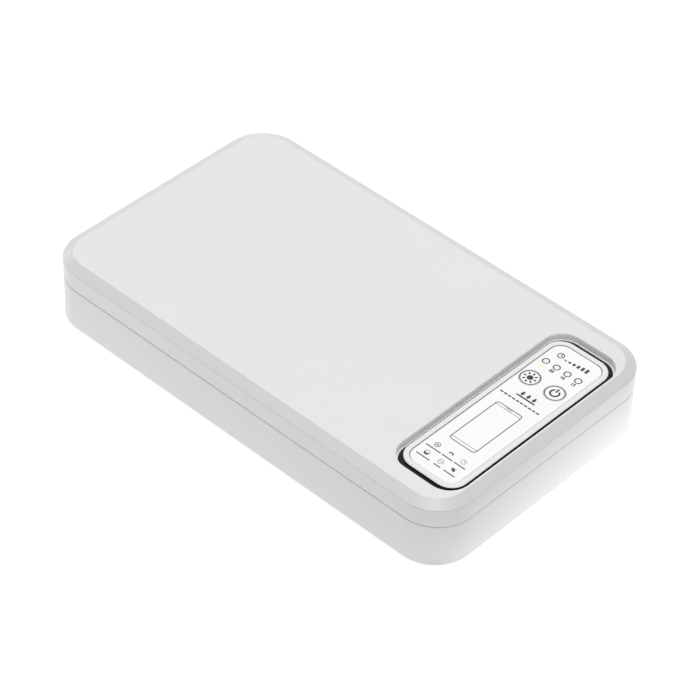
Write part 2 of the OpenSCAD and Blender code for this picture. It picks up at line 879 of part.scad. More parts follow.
module motor_cable() {
    color("firebrick") in_box() wire(motor_lead, motor_lead_r);
}

module vacuum_hose() {
    bend_x = nipple_x - hose_bend;
    bend_y = port_y - hose_bend;
    start_y = nipple_y + hose_end_gap;
    color("lightcyan") in_box() {
        difference() {
            rod_y(nipple_x, start_y, port_z, bend_y - start_y, hose_o);
            rod_y(nipple_x, start_y - 1, port_z, bend_y - start_y + 2, hose_r);
        }
        translate([bend_x, bend_y, port_z]) rotate_extrude(angle = 90)
            translate([hose_bend, 0]) difference() {
                circle(hose_o);
                circle(hose_r);
            }
        difference() {
            rod_x(chamber_end + hose_end_gap, port_y, port_z,
                bend_x - chamber_end - hose_end_gap, hose_o);
            rod_x(chamber_end, port_y, port_z, bend_x - chamber_end + 1, hose_r);
        }
    }
}

module vent_valve() {
    color("lightslategray") in_box() difference() {
        union() {
            brick(valve_x, valve_y, valve_z, [valve_s, valve_l, valve_s]);
            rod_x(valve_x - valve_s / 2 - nipple_l, valve_y, port_z, nipple_l + 1, nipple_r);
            rod_x(valve_x + valve_s / 2 - 1, valve_y, port_z, nipple_l, nipple_r);
        }
        rod_x(valve_x - valve_s, valve_y, port_z, 2 * valve_s + nipple_l, port_bore_r);
    }
}

module vent_hose() {
    color("lightcyan") in_box() difference() {
        rod_x(chamber_end + hose_end_gap, valve_y, port_z,
            valve_x - valve_s / 2 - chamber_end - 2 * hose_end_gap, hose_o);
        rod_x(chamber_end, valve_y, port_z, valve_x - chamber_end, hose_r);
    }
}

module main_board() {
    color("seagreen") in_box() difference() {
        translate([main_x, main_y, main_z]) cube([main_w, main_l, board_t]);
        for (p = main_posts)
            rod(p[0], p[1], main_z - 1, board_t + 2, board_screw_r + fit_gap);
    }
}

module board_parts() {
    color("black") in_box() {
        brick(main_x + main_w - 1.2 * chip_s, main_y + 1.5 * chip_s, main_top,
            [chip_s, chip_s, chip_t]);
        brick(main_x + coil_s, plug_y - (plug[1] + coil_s) / 2 - plug_in, main_top,
            [coil_s, coil_s, coil_t]);
        brick(main_x + plug_in + plug[0] / 2, plug_y, main_top, plug);
        rod(main_x + main_w - 1.4 * cap_r, main_y + main_l - 4 * cap_r, main_top, cap_h, cap_r);
        for (k = [0 : 3])
            brick(main_x + main_w / 2, main_y + main_post_in + k * coil_t, main_top,
                [chip_t, coil_t / 2, chip_t / 2]);
    }
}

module main_board_screws() {
    color("slategray") in_box() for (p = main_posts)
        translate([0, 0, 2 * main_top]) mirror([0, 0, 1])
            screw_up(p[0], p[1], main_top, board_t + main_air - main_screw_short, board_screw_r,
                board_head_r, board_head_h);
}

module buzzer() {
    color("dimgray") in_box() difference() {
        rod(buzzer_x, buzzer_y, main_top, buzzer_h, buzzer_r);
        rod(buzzer_x, buzzer_y, main_top + 1, buzzer_h, 1);
    }
}

module power_socket() {
    color("dimgray") in_box() difference() {
        union() {
            brick(socket_x, in_w / 2 - socket_l / 2, main_top, [socket_w, socket_l, socket_h]);
            rod_y(socket_x, in_w / 2 - 1, socket_z, wall + socket_stick, socket_r);
        }
        difference() {
            rod_y(socket_x, in_w / 2 + wall - socket_depth, socket_z, socket_depth + 1,
                socket_bore_r);
            rod_y(socket_x, in_w / 2 + wall - socket_depth - 1, socket_z, socket_depth,
                socket_pin_r);
        }
    }
}

module base_cable() {
    color("black") in_box() wire(base_lead, lead_r);
}

module lid_frame() {
    frame_top = cover_z - hairline;
    color("whitesmoke") in_box() difference() {
        union() {
            difference() {
                slab(box_l, box_w, corner_r, lid_rim, frame_top - lid_rim);
                slab(in_l, in_w, in_r, lid_rim - 1, lid_h);
                knuckle_room(base_barrels, notch_gap);
            }
            for (p = lid_posts) {
                rod(p[0], p[1], lid_post_z, lid_post_join - lid_post_z, lid_post_r);
                brick(p[0], sign(p[1]) * (lid_post_y + in_w / 2 + 0.5) / 2, lid_post_z,
                    [lid_web_w, in_w / 2 + 0.5 - lid_post_y, lid_post_join - lid_post_z]);
            }
            knuckles(lid_barrels, 1);
        }
        for (p = lid_posts)
            rod(p[0], p[1], lid_post_z - 1, lid_h, screw_r + fit_gap);
        pin_bores(pin_gap);
        tunnel(lid_lead[0] + [lead_bore_out, 0, 0], lid_lead[1] - [lead_r + lead_room / 2, 0, 0],
            lead_r + lead_room);
        tunnel(lid_lead[1], lid_lead[2], lead_r + lead_room);
    }
}

module lid_cover() {
    color("whitesmoke") in_box() difference() {
        union() {
            difference() {
                union() {
                    sloped_slab(box_l, box_w, corner_r, border_w, cover_z, border_h);
                    band(in_l - 2 * fit_gap, in_w - 2 * fit_gap, in_r - fit_gap, lip_t,
                        cover_z - lip_h, lip_h + eps);
                }
                slab(box_l - 2 * lip_in, box_w - 2 * lip_in, corner_r - lip_in,
                    cover_z - 1, ceiling - cover_z + 1);
            }
            translate([panel_x, 0, 0])
                slab(well_w + 2 * well_wall, well_l + 2 * well_wall, well_r + well_wall,
                    well_bottom, ceiling - well_bottom + 1);
            for (p = lid_posts)
                rod(p[0], p[1], lid_post_join, ceiling - lid_post_join + 1, lid_post_r);
            for (p = lug_places)
                rod(p[0], p[1], window_z, ceiling - window_z + 1, boss_r);
            for (x = [-1, 1], y = [-1, 1])
                rod(panel_x + x * board_post[0], y * board_post[1], board_top,
                    well_bottom - board_top + 1, board_post_r);
        }
        translate([panel_x, 0, 0]) {
            slab(well_w, well_l, well_r, well_z, well_d + 1);
            slab(opening_w, opening_l, opening_r, well_bottom - 1, well_floor + 2);
        }
        for (p = lid_posts)
            rod(p[0], p[1], lid_post_join - 1, ceiling - lid_post_join + 1 - lid_screw_short / 2,
                screw_r + pilot_gap);
        for (p = lug_places)
            rod(p[0], p[1], window_z - 1, clamp_seat + clamp_screw_l - window_z + 1 + screw_tip,
                clamp_screw_r + pilot_gap);
        for (x = [-1, 1], y = [-1, 1])
            rod(panel_x + x * board_post[0], y * board_post[1], board_top - 1,
                board_screw_l - board_t + 1 + screw_tip / 2, board_screw_r + pilot_gap);
    }
}

module bezel_foam() {
    color("black") in_box() translate([panel_x, 0, 0]) difference() {
        slab(well_w - 2 * foam_bare, well_l - 2 * foam_bare, well_r - foam_bare, well_z, foam_t);
        slab(opening_w, opening_l, opening_r, well_z - 1, foam_t + 2);
    }
}

module button_holes(z, h) {
    for (x = button_x) rod(x, button_y, z, h, button_r + button_gap);
    for (x = lens_x) rod(x, lens_y, z, h, lens_r + lens_gap);
}

module control_bezel() {
    color("white") in_box() difference() {
        translate([panel_x, 0, 0]) difference() {
            union() {
                slab(bezel_w, bezel_l, bezel_r, bezel_z, bezel_top - bezel_bevel - bezel_z);
                sloped_slab(bezel_w, bezel_l, bezel_r, bezel_bevel,
                    bezel_top - bezel_bevel, bezel_bevel);
            }
            slab(recess_w, recess_l, recess_r, overlay_z, well_d);
            slab(opening_w, opening_l, opening_r, bezel_z - 1, skin_z - bezel_z + 1);
        }
        button_holes(bezel_z - 1, well_d);
    }
}

module control_overlay() {
    color("white") in_box() difference() {
        translate([panel_x, 0, 0])
            slab(recess_w - 2 * overlay_gap, recess_l - 2 * overlay_gap,
                recess_r - overlay_gap, overlay_z, overlay_t);
        button_holes(overlay_z - 1, overlay_t + 2);
    }
}

module control_board() {
    color("seagreen") in_box() difference() {
        brick(panel_x, 0, board_z, [board_w, board_l, board_t]);
        for (x = [-1, 1], y = [-1, 1])
            rod(panel_x + x * board_post[0], y * board_post[1], board_z - 1, board_t + 2,
                board_screw_r + fit_gap);
    }
}

module control_board_screws() {
    color("slategray") in_box() for (x = [-1, 1], y = [-1, 1])
        screw_up(panel_x + x * board_post[0], y * board_post[1], board_z, board_screw_l,
            board_screw_r, board_head_r, board_head_h);
}

module switch_body(x) {
    color("black") in_box() difference() {
        brick(x, button_y, board_top, [switch_s, switch_s, switch_h]);
        rod(x, button_y, board_top + switch_floor, switch_h, plunger_r + plunger_gap);
    }
}

module switch_plunger(x) {
    color("gray") in_box()
        rod(x, button_y, plunger_z, flange_z - switch_air - plunger_z, plunger_r);
}

module button(x) {
    color("white") in_box() {
        rod(x, button_y, flange_z, flange_t, flange_r);
        rod(x, button_y, flange_z, overlay_top + button_proud - flange_z, button_r);
    }
}

module uv_switch() { switch_body(button_x[0]); }
module power_switch() { switch_body(button_x[1]); }
module uv_switch_plunger() { switch_plunger(button_x[0]); }
module power_switch_plunger() { switch_plunger(button_x[1]); }
module uv_button() { button(button_x[0]); }
module power_button() { button(button_x[1]); }

module indicator_leds() {
    color("lightyellow") in_box() for (x = lens_x)
        brick(x, lens_y, board_top, [led_s, led_s, led_h]);
}

module lens(x) {
    color("aliceblue") in_box() {
        rod(x, lens_y, lens_z, overlay_top - lens_z, lens_r);
        rod(x, lens_y, skin_z - lens_flange_t, lens_flange_t, lens_flange_r);
    }
}

module indicator_lens_1() { lens(lens_x[0]); }
module indicator_lens_2() { lens(lens_x[1]); }
module indicator_lens_3() { lens(lens_x[2]); }
module indicator_lens_4() { lens(lens_x[3]); }

module lamp_strip(k) {
    color("seagreen") in_box()
        brick(chamber_x, k * strip_pitch, strip_z, [strip_l, strip_w, strip_t]);
}

module lamp_strip_front() { lamp_strip(-1); }
module lamp_strip_middle() { lamp_strip(0); }
module lamp_strip_rear() { lamp_strip(1); }

module uv_lamps() {
    color("mediumpurple") in_box()
        for (k = [-1, 0, 1], i = [0 : lamp_n - 1])
            brick(chamber_x + (i - (lamp_n - 1) / 2) * lamp_pitch, k * strip_pitch,
                strip_z - lamp_h, [lamp_s, lamp_s, lamp_h]);
}

module lamp_window() {
    color("lightblue") in_box() chamber_slab(window_seat - window_lip, window_z, window_t);
}

module lid_liner() {
    half = [box_l, box_w, lid_h];
    color("lightgray") in_box() difference() {
        union() {
            intersection() {
                slab(in_l - 2 * fit_gap, in_w - 2 * fit_gap, in_r - fit_gap, liner_z, liner_t);
                brick(liner_step_x - box_l / 2, 0, cover_plate_z, half);
            }
            intersection() {
                slab(in_l - 2 * fit_gap, in_w - 2 * fit_gap, in_r - fit_gap, cover_plate_z,
                    cover_plate_t);
                brick(liner_step_x - liner_step_t + box_l / 2, 0, cover_plate_z, half);
            }
            intersection() {
                slab(in_l - 2 * fit_gap, in_w - 2 * fit_gap, in_r - fit_gap, cover_plate_z,
                    window_z - cover_plate_z);
                brick(liner_step_x - liner_step_t / 2, 0, cover_plate_z,
                    [liner_step_t, box_w, lid_h]);
            }
            for (s = [-1, 1])
                rod(s * magnet_x, magnet_y, lid_magnet_z - lid_magnet_skin,
                    window_z - lid_magnet_z + lid_magnet_skin, magnet_r + magnet_wall);
        }
        chamber_slab(-window_lip, liner_z - 1, liner_t + 2);
        for (p = lid_posts) {
            rod(p[0], p[1], cover_plate_z - 1, lid_h, lid_post_r + fit_gap);
            brick(p[0], sign(p[1]) * in_w / 2, cover_plate_z - 1,
                [lid_web_w + 2 * fit_gap, 2 * (in_w / 2 - lid_post_y), lid_h]);
        }
        for (p = lug_places)
            rod(p[0], p[1], liner_z - 1, liner_t + 2, clamp_screw_r + fit_gap);
        for (s = [-1, 1])
            rod(s * magnet_x, magnet_y, lid_magnet_z, lid_h, magnet_r + pilot_gap);
        knuckle_room(lid_barrels, fit_gap);
        knuckle_room(base_barrels, notch_gap);
        brick(duct_lid_x, in_w / 2, liner_z - 1,
            [2 * lead_r + 2, 2 * (lead_run + lead_r + lead_room), liner_t + 2]);
    }
}

module press_membrane() {
    color("azure") in_box() chamber_slab(membrane_out, membrane_z, membrane_t);
}

module membrane_clamp() {
    color("lightgray") in_box() difference() {
        union() {
            chamber_band(clamp_out, clamp_out - clamp_in, clamp_z, clamp_t);
            for (p = lug_places) rod(p[0], p[1], clamp_z, liner_z - clamp_z, lug_r);
        }
        chamber_slab(membrane_out + fit_gap, membrane_z, membrane_t + 1);
        for (p = lug_places) {
            rod(p[0], p[1], clamp_z - 1, lid_h, clamp_screw_r + fit_gap);
            rod(p[0], p[1], clamp_z - 1, clamp_seat - clamp_z + 1, clamp_head_r + fit_gap);
        }
    }
}

module clamp_screws() {
    color("slategray") in_box() for (p = lug_places)
        screw_up(p[0], p[1], clamp_seat, clamp_screw_l, clamp_screw_r, clamp_head_r,
            clamp_head_h);
}

module lid_screws() {
    color("slategray") in_box() for (p = lid_posts)
        screw_up(p[0], p[1], lid_post_z, lid_screw_l, screw_r, screw_head_r, screw_head_h);
}

module lid_magnets() {
    color("darkgray") in_box() for (s = [-1, 1])
        rod(s * magnet_x, magnet_y, lid_magnet_z, magnet_t, magnet_r);
}

module lid_cable() {
    color("black") in_box() wire(lid_lead, lead_r);
}

base_shell();
chamber_deck();
bed_plate();
phone_mat();
chamber_seal();
foot_front_left();
foot_front_right();
foot_rear_left();
foot_rear_right();
base_screws();
base_magnets();
lid_sensor();
hinge_pin_left();
hinge_pin_right();
pump_cradle();
pump_motor();
pump_head();
pump_crank();
motor_cable();
vacuum_hose();
vent_valve();
vent_hose();
main_board();
board_parts();
main_board_screws();
buzzer();
power_socket();
base_cable();
lid_frame();
lid_cover();
bezel_foam();
control_bezel();
control_overlay();
control_board();
control_board_screws();
uv_switch();
power_switch();
indicator_leds();
indicator_lens_1();
indicator_lens_2();
indicator_lens_3();
indicator_lens_4();
uv_button();
uv_switch_plunger();
power_button();
power_switch_plunger();
lamp_strip_front();
lamp_strip_middle();
lamp_strip_rear();
uv_lamps();
lamp_window();
lid_liner();
press_membrane();
membrane_clamp();
clamp_screws();
lid_screws();
lid_magnets();
lid_cable();
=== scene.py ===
import math

import bpy
from mathutils import Matrix, Vector


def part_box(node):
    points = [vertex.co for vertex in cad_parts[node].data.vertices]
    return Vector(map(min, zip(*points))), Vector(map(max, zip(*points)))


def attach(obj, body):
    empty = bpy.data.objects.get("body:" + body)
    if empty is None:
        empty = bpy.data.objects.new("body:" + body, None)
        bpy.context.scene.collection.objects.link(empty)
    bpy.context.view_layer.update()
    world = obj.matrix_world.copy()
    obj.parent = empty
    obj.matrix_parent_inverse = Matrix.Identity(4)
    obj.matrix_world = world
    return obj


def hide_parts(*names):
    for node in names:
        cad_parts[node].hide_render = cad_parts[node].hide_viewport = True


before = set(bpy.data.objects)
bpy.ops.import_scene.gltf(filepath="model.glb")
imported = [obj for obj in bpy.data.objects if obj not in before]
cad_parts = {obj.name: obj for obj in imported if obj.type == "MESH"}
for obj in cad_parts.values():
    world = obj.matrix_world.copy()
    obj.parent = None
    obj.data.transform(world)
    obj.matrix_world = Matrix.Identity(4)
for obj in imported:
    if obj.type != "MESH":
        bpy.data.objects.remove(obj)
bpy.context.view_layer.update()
bpy.ops.object.select_all(action="DESELECT")


# View
# The camera stands off the front right corner, high above the table, and is rolled a little.
# Its turn, rise, roll, distance and lens come from the straight edges of the photographed box.
view_turn = math.radians(42.01)
view_rise = math.radians(42.05)
view_roll = math.radians(2.19)
view_distance = 1.34807
view_right = 0.00335
view_up = 0.00599
view_lens = 148.0
casing_low, casing_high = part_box("lid_cover")
casing_middle = (Vector(casing_low) + Vector(casing_high)) / 2
feet_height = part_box("base_shell")[0][2]
aim = Vector((casing_middle.x, casing_middle.y, feet_height))

view_back = Vector((
    math.sin(view_turn) * math.cos(view_rise),
    -math.cos(view_turn) * math.cos(view_rise),
    math.sin(view_rise),
))
level_right = Vector((math.cos(view_turn), math.sin(view_turn), 0))
level_up = view_back.cross(level_right)
image_right = level_right * math.cos(view_roll) + level_up * math.sin(view_roll)
image_up = level_up * math.cos(view_roll) - level_right * math.sin(view_roll)
eye = aim + view_back * view_distance + image_right * view_right + image_up * view_up

bpy.ops.object.camera_add()
camera = bpy.context.object
camera.name = "photo_camera"
camera.matrix_world = Matrix.Translation(eye) @ Matrix(
    (image_right, image_up, view_back)
).transposed().to_4x4()
camera.data.sensor_width = 36
camera.data.lens = view_lens
camera.data.clip_start = 0.05
camera.data.clip_end = 20
bpy.context.scene.camera = camera


# Base casing
# The lower shell of white ABS, moulded in one piece with its screw posts, ribs and hinge barrels.
# Its rim and outer edges are eased a little, as they leave the mould.
MM = 0.001
hair = 0.05 * MM        # how far a corner may lie from a height and still count as on it
fine_hair = 0.02 * MM
casing_white = (0.80, 0.80, 0.795, 1)
casing_rough = 0.30
rim_round = 0.35 * MM
deck_drop = 0.5 * MM
weld_gap = 0.002 * MM
flat_angle = math.radians(0.3)
sharp_angle = math.radians(25)


def pick_edges(piece, test):
    """Selects the edges whose two ends pass the test, and nothing else."""
    mesh = piece.data
    for part in (mesh.vertices, mesh.edges, mesh.polygons):
        part.foreach_set("select", [False] * len(part))
    for edge in mesh.edges:
        a, b = (mesh.vertices[i].co for i in edge.vertices)
        edge.select = bool(test(a, b))
    bpy.context.tool_settings.mesh_select_mode = (False, True, False)


def make_active(piece):
    bpy.ops.object.select_all(action="DESELECT")
    piece.select_set(True)
    bpy.context.view_layer.objects.active = piece


def round_edges(piece, width, steps, test):
    """Rounds the edges that pass the test."""
    make_active(piece)
    pick_edges(piece, test)
    bpy.ops.object.mode_set(mode="EDIT")
    bpy.ops.mesh.bevel(offset=width, segments=steps, affect="EDGES")
    bpy.ops.object.mode_set(mode="OBJECT")


def round_sharp_edges(piece, width, steps, test):
    """Rounds the sharp edges that pass the test."""
    make_active(piece)
    bpy.context.tool_settings.mesh_select_mode = (False, True, False)
    bpy.ops.object.mode_set(mode="EDIT")
    bpy.ops.mesh.select_all(action="DESELECT")
    bpy.ops.mesh.edges_select_sharp(sharpness=sharp_angle)
    bpy.ops.object.mode_set(mode="OBJECT")
    mesh = piece.data
    sharp = [edge.select for edge in mesh.edges]
    pick_edges(piece, test)
    for edge, is_sharp in zip(mesh.edges, sharp):
        edge.select = edge.select and is_sharp
    bpy.ops.object.mode_set(mode="EDIT")
    bpy.ops.mesh.bevel(offset=width, segments=steps, affect="EDGES")
    bpy.ops.object.mode_set(mode="OBJECT")


def moulding(node, name):
    """A merged copy of a moulded part, ready for its edges to be eased."""
    piece = bpy.data.objects.new(name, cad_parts[node].data.copy())
    bpy.context.collection.objects.link(piece)
    make_active(piece)
    bpy.ops.object.mode_set(mode="EDIT")
    bpy.ops.mesh.select_all(action="SELECT")
    bpy.ops.mesh.remove_doubles(threshold=weld_gap)
    bpy.ops.mesh.dissolve_limited(angle_limit=flat_angle)
    bpy.ops.object.mode_set(mode="OBJECT")
    return piece


def smooth_by_angle(piece, degrees=35):
    """Smooth shading that keeps the creases, and leaves large flat faces flat."""
    make_active(piece)
    bpy.ops.object.shade_smooth_by_angle(angle=math.radians(degrees))
    level = piece.modifiers.new("level", "WEIGHTED_NORMAL")
    level.keep_sharp = True
    bpy.ops.object.modifier_apply(modifier=level.name)


def fit(piece, body, node=None):
    """The piece rides on its body and stands for its node."""
    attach(piece, body)
    if node:
        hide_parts(node)


def finish_of(piece, material):
    piece.data.materials.clear()
    piece.data.materials.append(material)


def moulded_plastic(name, colour, roughness, grain=0.0006, depth=0.00001, coat=0.0):
    """Moulded plastic: an even colour with faint clouds, and a fine grain left by the mould."""
    material = bpy.data.materials.new(name)
    material.use_nodes = True
    nodes, links = material.node_tree.nodes, material.node_tree.links
    shader = nodes["Principled BSDF"]
    place = nodes.new("ShaderNodeTexCoord")
    clouds = nodes.new("ShaderNodeTexNoise")
    clouds.inputs["Scale"].default_value = 14
    clouds.inputs["Detail"].default_value = 3
    tint = nodes.new("ShaderNodeValToRGB")
    tint.color_ramp.elements[0].position = 0.3
    tint.color_ramp.elements[1].position = 0.7
    tint.color_ramp.elements[0].color = [c * 0.985 for c in colour[:3]] + [1]
    tint.color_ramp.elements[1].color = colour
    pores = nodes.new("ShaderNodeTexNoise")
    pores.inputs["Scale"].default_value = 1 / grain
    pores.inputs["Detail"].default_value = 4
    gloss = nodes.new("ShaderNodeMapRange")
    gloss.inputs["To Min"].default_value = roughness * 0.92
    gloss.inputs["To Max"].default_value = roughness * 1.08
    relief = nodes.new("ShaderNodeBump")
    relief.inputs["Strength"].default_value = 0.35
    relief.inputs["Distance"].default_value = depth
    links.new(place.outputs["Object"], clouds.inputs["Vector"])
    links.new(place.outputs["Object"], pores.inputs["Vector"])
    links.new(clouds.outputs["Fac"], tint.inputs["Fac"])
    links.new(tint.outputs["Color"], shader.inputs["Base Color"])
    links.new(pores.outputs["Fac"], gloss.inputs["Value"])
    links.new(gloss.outputs["Result"], shader.inputs["Roughness"])
    links.new(pores.outputs["Fac"], relief.inputs["Height"])
    links.new(relief.outputs["Normal"], shader.inputs["Normal"])
    shader.inputs["Coat Weight"].default_value = coat
    shader.inputs["Coat Roughness"].default_value = 0.12
    return material


base_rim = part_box("chamber_deck")[1][2] + deck_drop
base_casing = moulding("base_shell", "base_casing")
round_sharp_edges(
    base_casing, rim_round, 3,
    lambda a, b: min(a.z, b.z) > base_rim - hair and max(a.z, b.z) < base_rim + hair,
)
smooth_by_angle(base_casing)
finish_of(base_casing, moulded_plastic("base_abs", casing_white, casing_rough))
fit(base_casing, "base", "base_shell")


# Feet
# Four discs of soft black rubber, pressed into round pockets under the base casing.
# Each has a rounded lower edge and a shallow dish, so that it grips a smooth table.
foot_edge = 0.5 * MM
foot_rim = 1.6 * MM
foot_dish = 0.35 * MM


def settle(piece):
    """Puts the piece's place into its mesh."""
    make_active(piece)
    bpy.ops.object.transform_apply(location=True, rotation=True, scale=True)


def pick_faces(piece, test):
    """Selects the faces whose middle and normal pass the test, and nothing else."""
    mesh = piece.data
    for part in (mesh.vertices, mesh.edges, mesh.polygons):
        part.foreach_set("select", [False] * len(part))
    for face in mesh.polygons:
        face.select = bool(test(face.center, face.normal))
    bpy.context.tool_settings.mesh_select_mode = (False, False, True)


def turned_disc(name, middle, radius, z_low, z_high, corners=64):
    """A round blank standing from one height to another, ready to be shaped."""
    bpy.ops.mesh.primitive_cylinder_add(
        vertices=corners, radius=radius, depth=z_high - z_low,
        location=(middle.x, middle.y, (z_low + z_high) / 2),
    )
    piece = bpy.context.object
    piece.name = name
    settle(piece)
    return piece


def step_in(piece, test, border, rise):
    """Insets the faces that pass the test by a border, then raises or sinks them."""
    make_active(piece)
    pick_faces(piece, test)
    bpy.ops.object.mode_set(mode="EDIT")
    bpy.ops.mesh.inset(thickness=border)
    bpy.ops.mesh.extrude_region_move(TRANSFORM_OT_translate={"value": (0, 0, rise)})
    bpy.ops.object.mode_set(mode="OBJECT")


def soft_rubber(name, colour, roughness=0.72):
    """Soft rubber: matt, with fine pores and a dusty variation of its black."""
    return moulded_plastic(name, colour, roughness, grain=0.0004, depth=0.00002)


foot_rubber = soft_rubber("foot_rubber", (0.03, 0.03, 0.032, 1))
for corner in ("front_left", "front_right", "rear_left", "rear_right"):
    node = "foot_" + corner
    foot_low, foot_high = (Vector(c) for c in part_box(node))
    foot = turned_disc(
        "rubber_" + node, (foot_low + foot_high) / 2, (foot_high.x - foot_low.x) / 2,
        foot_low.z, foot_high.z,
    )
    round_edges(foot, foot_edge, 4, lambda a, b: max(a.z, b.z) < foot_low.z + fine_hair)
    step_in(foot, lambda c, n: n.z < -0.99, foot_rim - foot_edge, foot_dish)
    smooth_by_angle(foot)
    finish_of(foot, foot_rubber)
    fit(foot, "base", node)


# Deck
# A white ABS moulding that lies on the base casing's posts. Its tub is the phone chamber, and
# a groove round the tub holds the seal. Its edges are rounded where hands and phones touch it.
deck_round = 0.3 * MM
deck_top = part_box("chamber_deck")[1][2]
deck = moulding("chamber_deck", "deck_moulding")
round_sharp_edges(deck, deck_round, 3, lambda a, b: min(a.z, b.z) > deck_top - hair)
smooth_by_angle(deck)
finish_of(deck, moulded_plastic("deck_abs", (0.74, 0.745, 0.75, 1), 0.34))
fit(deck, "base", "chamber_deck")


# Bed plate and phone mat
# A polished aluminium sheet on the chamber's floor throws the light back from below. On it lies
# a ribbed mat of pale silicone, so that air is drawn out under the phone.
rib_round = 0.28 * MM


def rolled_sheet(name, colour, roughness, grain_along=(1, 1, 1)):
    """Rolled or turned metal: fine marks that run one way, with a faint change of tone."""
    material = bpy.data.materials.new(name)
    material.use_nodes = True
    nodes, links = material.node_tree.nodes, material.node_tree.links
    shader = nodes["Principled BSDF"]
    place = nodes.new("ShaderNodeTexCoord")
    stretch = nodes.new("ShaderNodeMapping")
    stretch.inputs["Scale"].default_value = grain_along
    marks = nodes.new("ShaderNodeTexNoise")
    marks.inputs["Scale"].default_value = 900
    marks.inputs["Detail"].default_value = 5
    tone = nodes.new("ShaderNodeValToRGB")
    tone.color_ramp.elements[0].color = [c * 0.88 for c in colour[:3]] + [1]
    tone.color_ramp.elements[1].color = colour
    gloss = nodes.new("ShaderNodeMapRange")
    gloss.inputs["To Min"].default_value = roughness * 0.75
    gloss.inputs["To Max"].default_value = roughness * 1.25
    relief = nodes.new("ShaderNodeBump")
    relief.inputs["Strength"].default_value = 0.2
    relief.inputs["Distance"].default_value = 0.000008
    links.new(place.outputs["Object"], stretch.inputs["Vector"])
    links.new(stretch.outputs["Vector"], marks.inputs["Vector"])
    links.new(marks.outputs["Fac"], tone.inputs["Fac"])
    links.new(tone.outputs["Color"], shader.inputs["Base Color"])
    links.new(marks.outputs["Fac"], gloss.inputs["Value"])
    links.new(gloss.outputs["Result"], shader.inputs["Roughness"])
    links.new(marks.outputs["Fac"], relief.inputs["Height"])
    links.new(relief.outputs["Normal"], shader.inputs["Normal"])
    shader.inputs["Metallic"].default_value = 1.0
    return material


def carried(node, name, body, material, degrees=35):
    """A smoothed copy of a part whose form is already complete, with its own finish."""
    piece = moulding(node, name)
    smooth_by_angle(piece, degrees)
    finish_of(piece, material)
    fit(piece, body, node)


carried("bed_plate", "bed_sheet", "base",
        rolled_sheet("polished_aluminium", (0.86, 0.87, 0.88, 1), 0.10, (0.05, 1, 1)))

mat_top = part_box("phone_mat")[1][2]
mat = moulding("phone_mat", "ribbed_mat")
round_sharp_edges(mat, rib_round, 3, lambda a, b: min(a.z, b.z) > mat_top - hair)
smooth_by_angle(mat)
finish_of(mat, moulded_plastic("mat_silicone", (0.50, 0.53, 0.56, 1), 0.55, 0.0009, 0.000015))
fit(mat, "base", "phone_mat")


# Chamber seal
# A frame of dark silicone pressed into the deck's groove. Its rounded bead stands up and meets
# the membrane's clamp when the lid is shut.
bead_round = 0.6 * MM
bead_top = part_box("chamber_seal")[1][2]
seal = moulding("chamber_seal", "seal_frame")
round_sharp_edges(seal, bead_round, 5, lambda a, b: min(a.z, b.z) > bead_top - hair)
smooth_by_angle(seal, 50)
finish_of(seal, soft_rubber("seal_silicone", (0.055, 0.06, 0.065, 1), 0.5))
fit(seal, "base", "chamber_seal")


# Base fasteners, magnets and lid sensor
# Zinc-plated cross-recess screws come up from below into the deck's posts. Two nickel-plated
# magnets hold the lid shut, and a small glass switch beside one of them senses it.
zinc = rolled_sheet("plated_steel", (0.62, 0.63, 0.64, 1), 0.28)
nickel = rolled_sheet("plated_nickel", (0.70, 0.68, 0.64, 1), 0.22)
screw_ease = 0.12 * MM


def screws(node, name, body, head_z):
    """Screws with the edges of their heads eased, as they are rolled."""
    piece = moulding(node, name)
    round_sharp_edges(
        piece, screw_ease, 2,
        lambda a, b: abs(a.z - head_z) < fine_hair and abs(b.z - head_z) < fine_hair,
    )
    smooth_by_angle(piece)
    finish_of(piece, zinc)
    fit(piece, body, node)


screws("base_screws", "deck_screws", "base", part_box("base_screws")[0][2])
carried("base_magnets", "deck_magnets", "base", nickel)


def clear_plastic(name, tint, roughness=0.05, clearness=0.92):
    """Clear plastic or glass: lets light through, with a faint tint and fine flow marks."""
    material = moulded_plastic(name, tint, roughness, grain=0.004, depth=0.000002)
    shader = material.node_tree.nodes["Principled BSDF"]
    shader.inputs["Transmission Weight"].default_value = clearness
    shader.inputs["IOR"].default_value = 1.46
    return material


def clear_film(name, tint, roughness, cover):
    """A thin clear film or pane that hides only a share of what lies behind it."""
    material = moulded_plastic(name, tint, roughness, grain=0.004, depth=0.000002)
    material.node_tree.nodes["Principled BSDF"].inputs["Alpha"].default_value = cover
    return material


carried("lid_sensor", "glass_switch", "base",
        clear_plastic("sensor_glass", (0.55, 0.72, 0.62, 1), 0.08, 0.6))


# Hinge pins
# Two bright steel pins, pressed into the base's barrels, on which the lid's barrels turn.
pin_end = 0.2 * MM
pin_steel = rolled_sheet("pin_steel", (0.66, 0.66, 0.67, 1), 0.2, (1, 0.05, 0.05))
for side in ("left", "right"):
    node = "hinge_pin_" + side
    pin = moulding(node, "steel_pin_" + side)
    round_sharp_edges(pin, pin_end, 3, lambda a, b: abs(a.x - b.x) < fine_hair)
    smooth_by_angle(pin)
    finish_of(pin, pin_steel)
    fit(pin, "base", node)


# Vacuum pump and its air line
# A small motor with a steel can drives a crank inside the pump's head. Both rest in a rubber
# cradle, and clear silicone hoses join the pump and the vent valve to the chamber.
pump_ease = 0.5 * MM


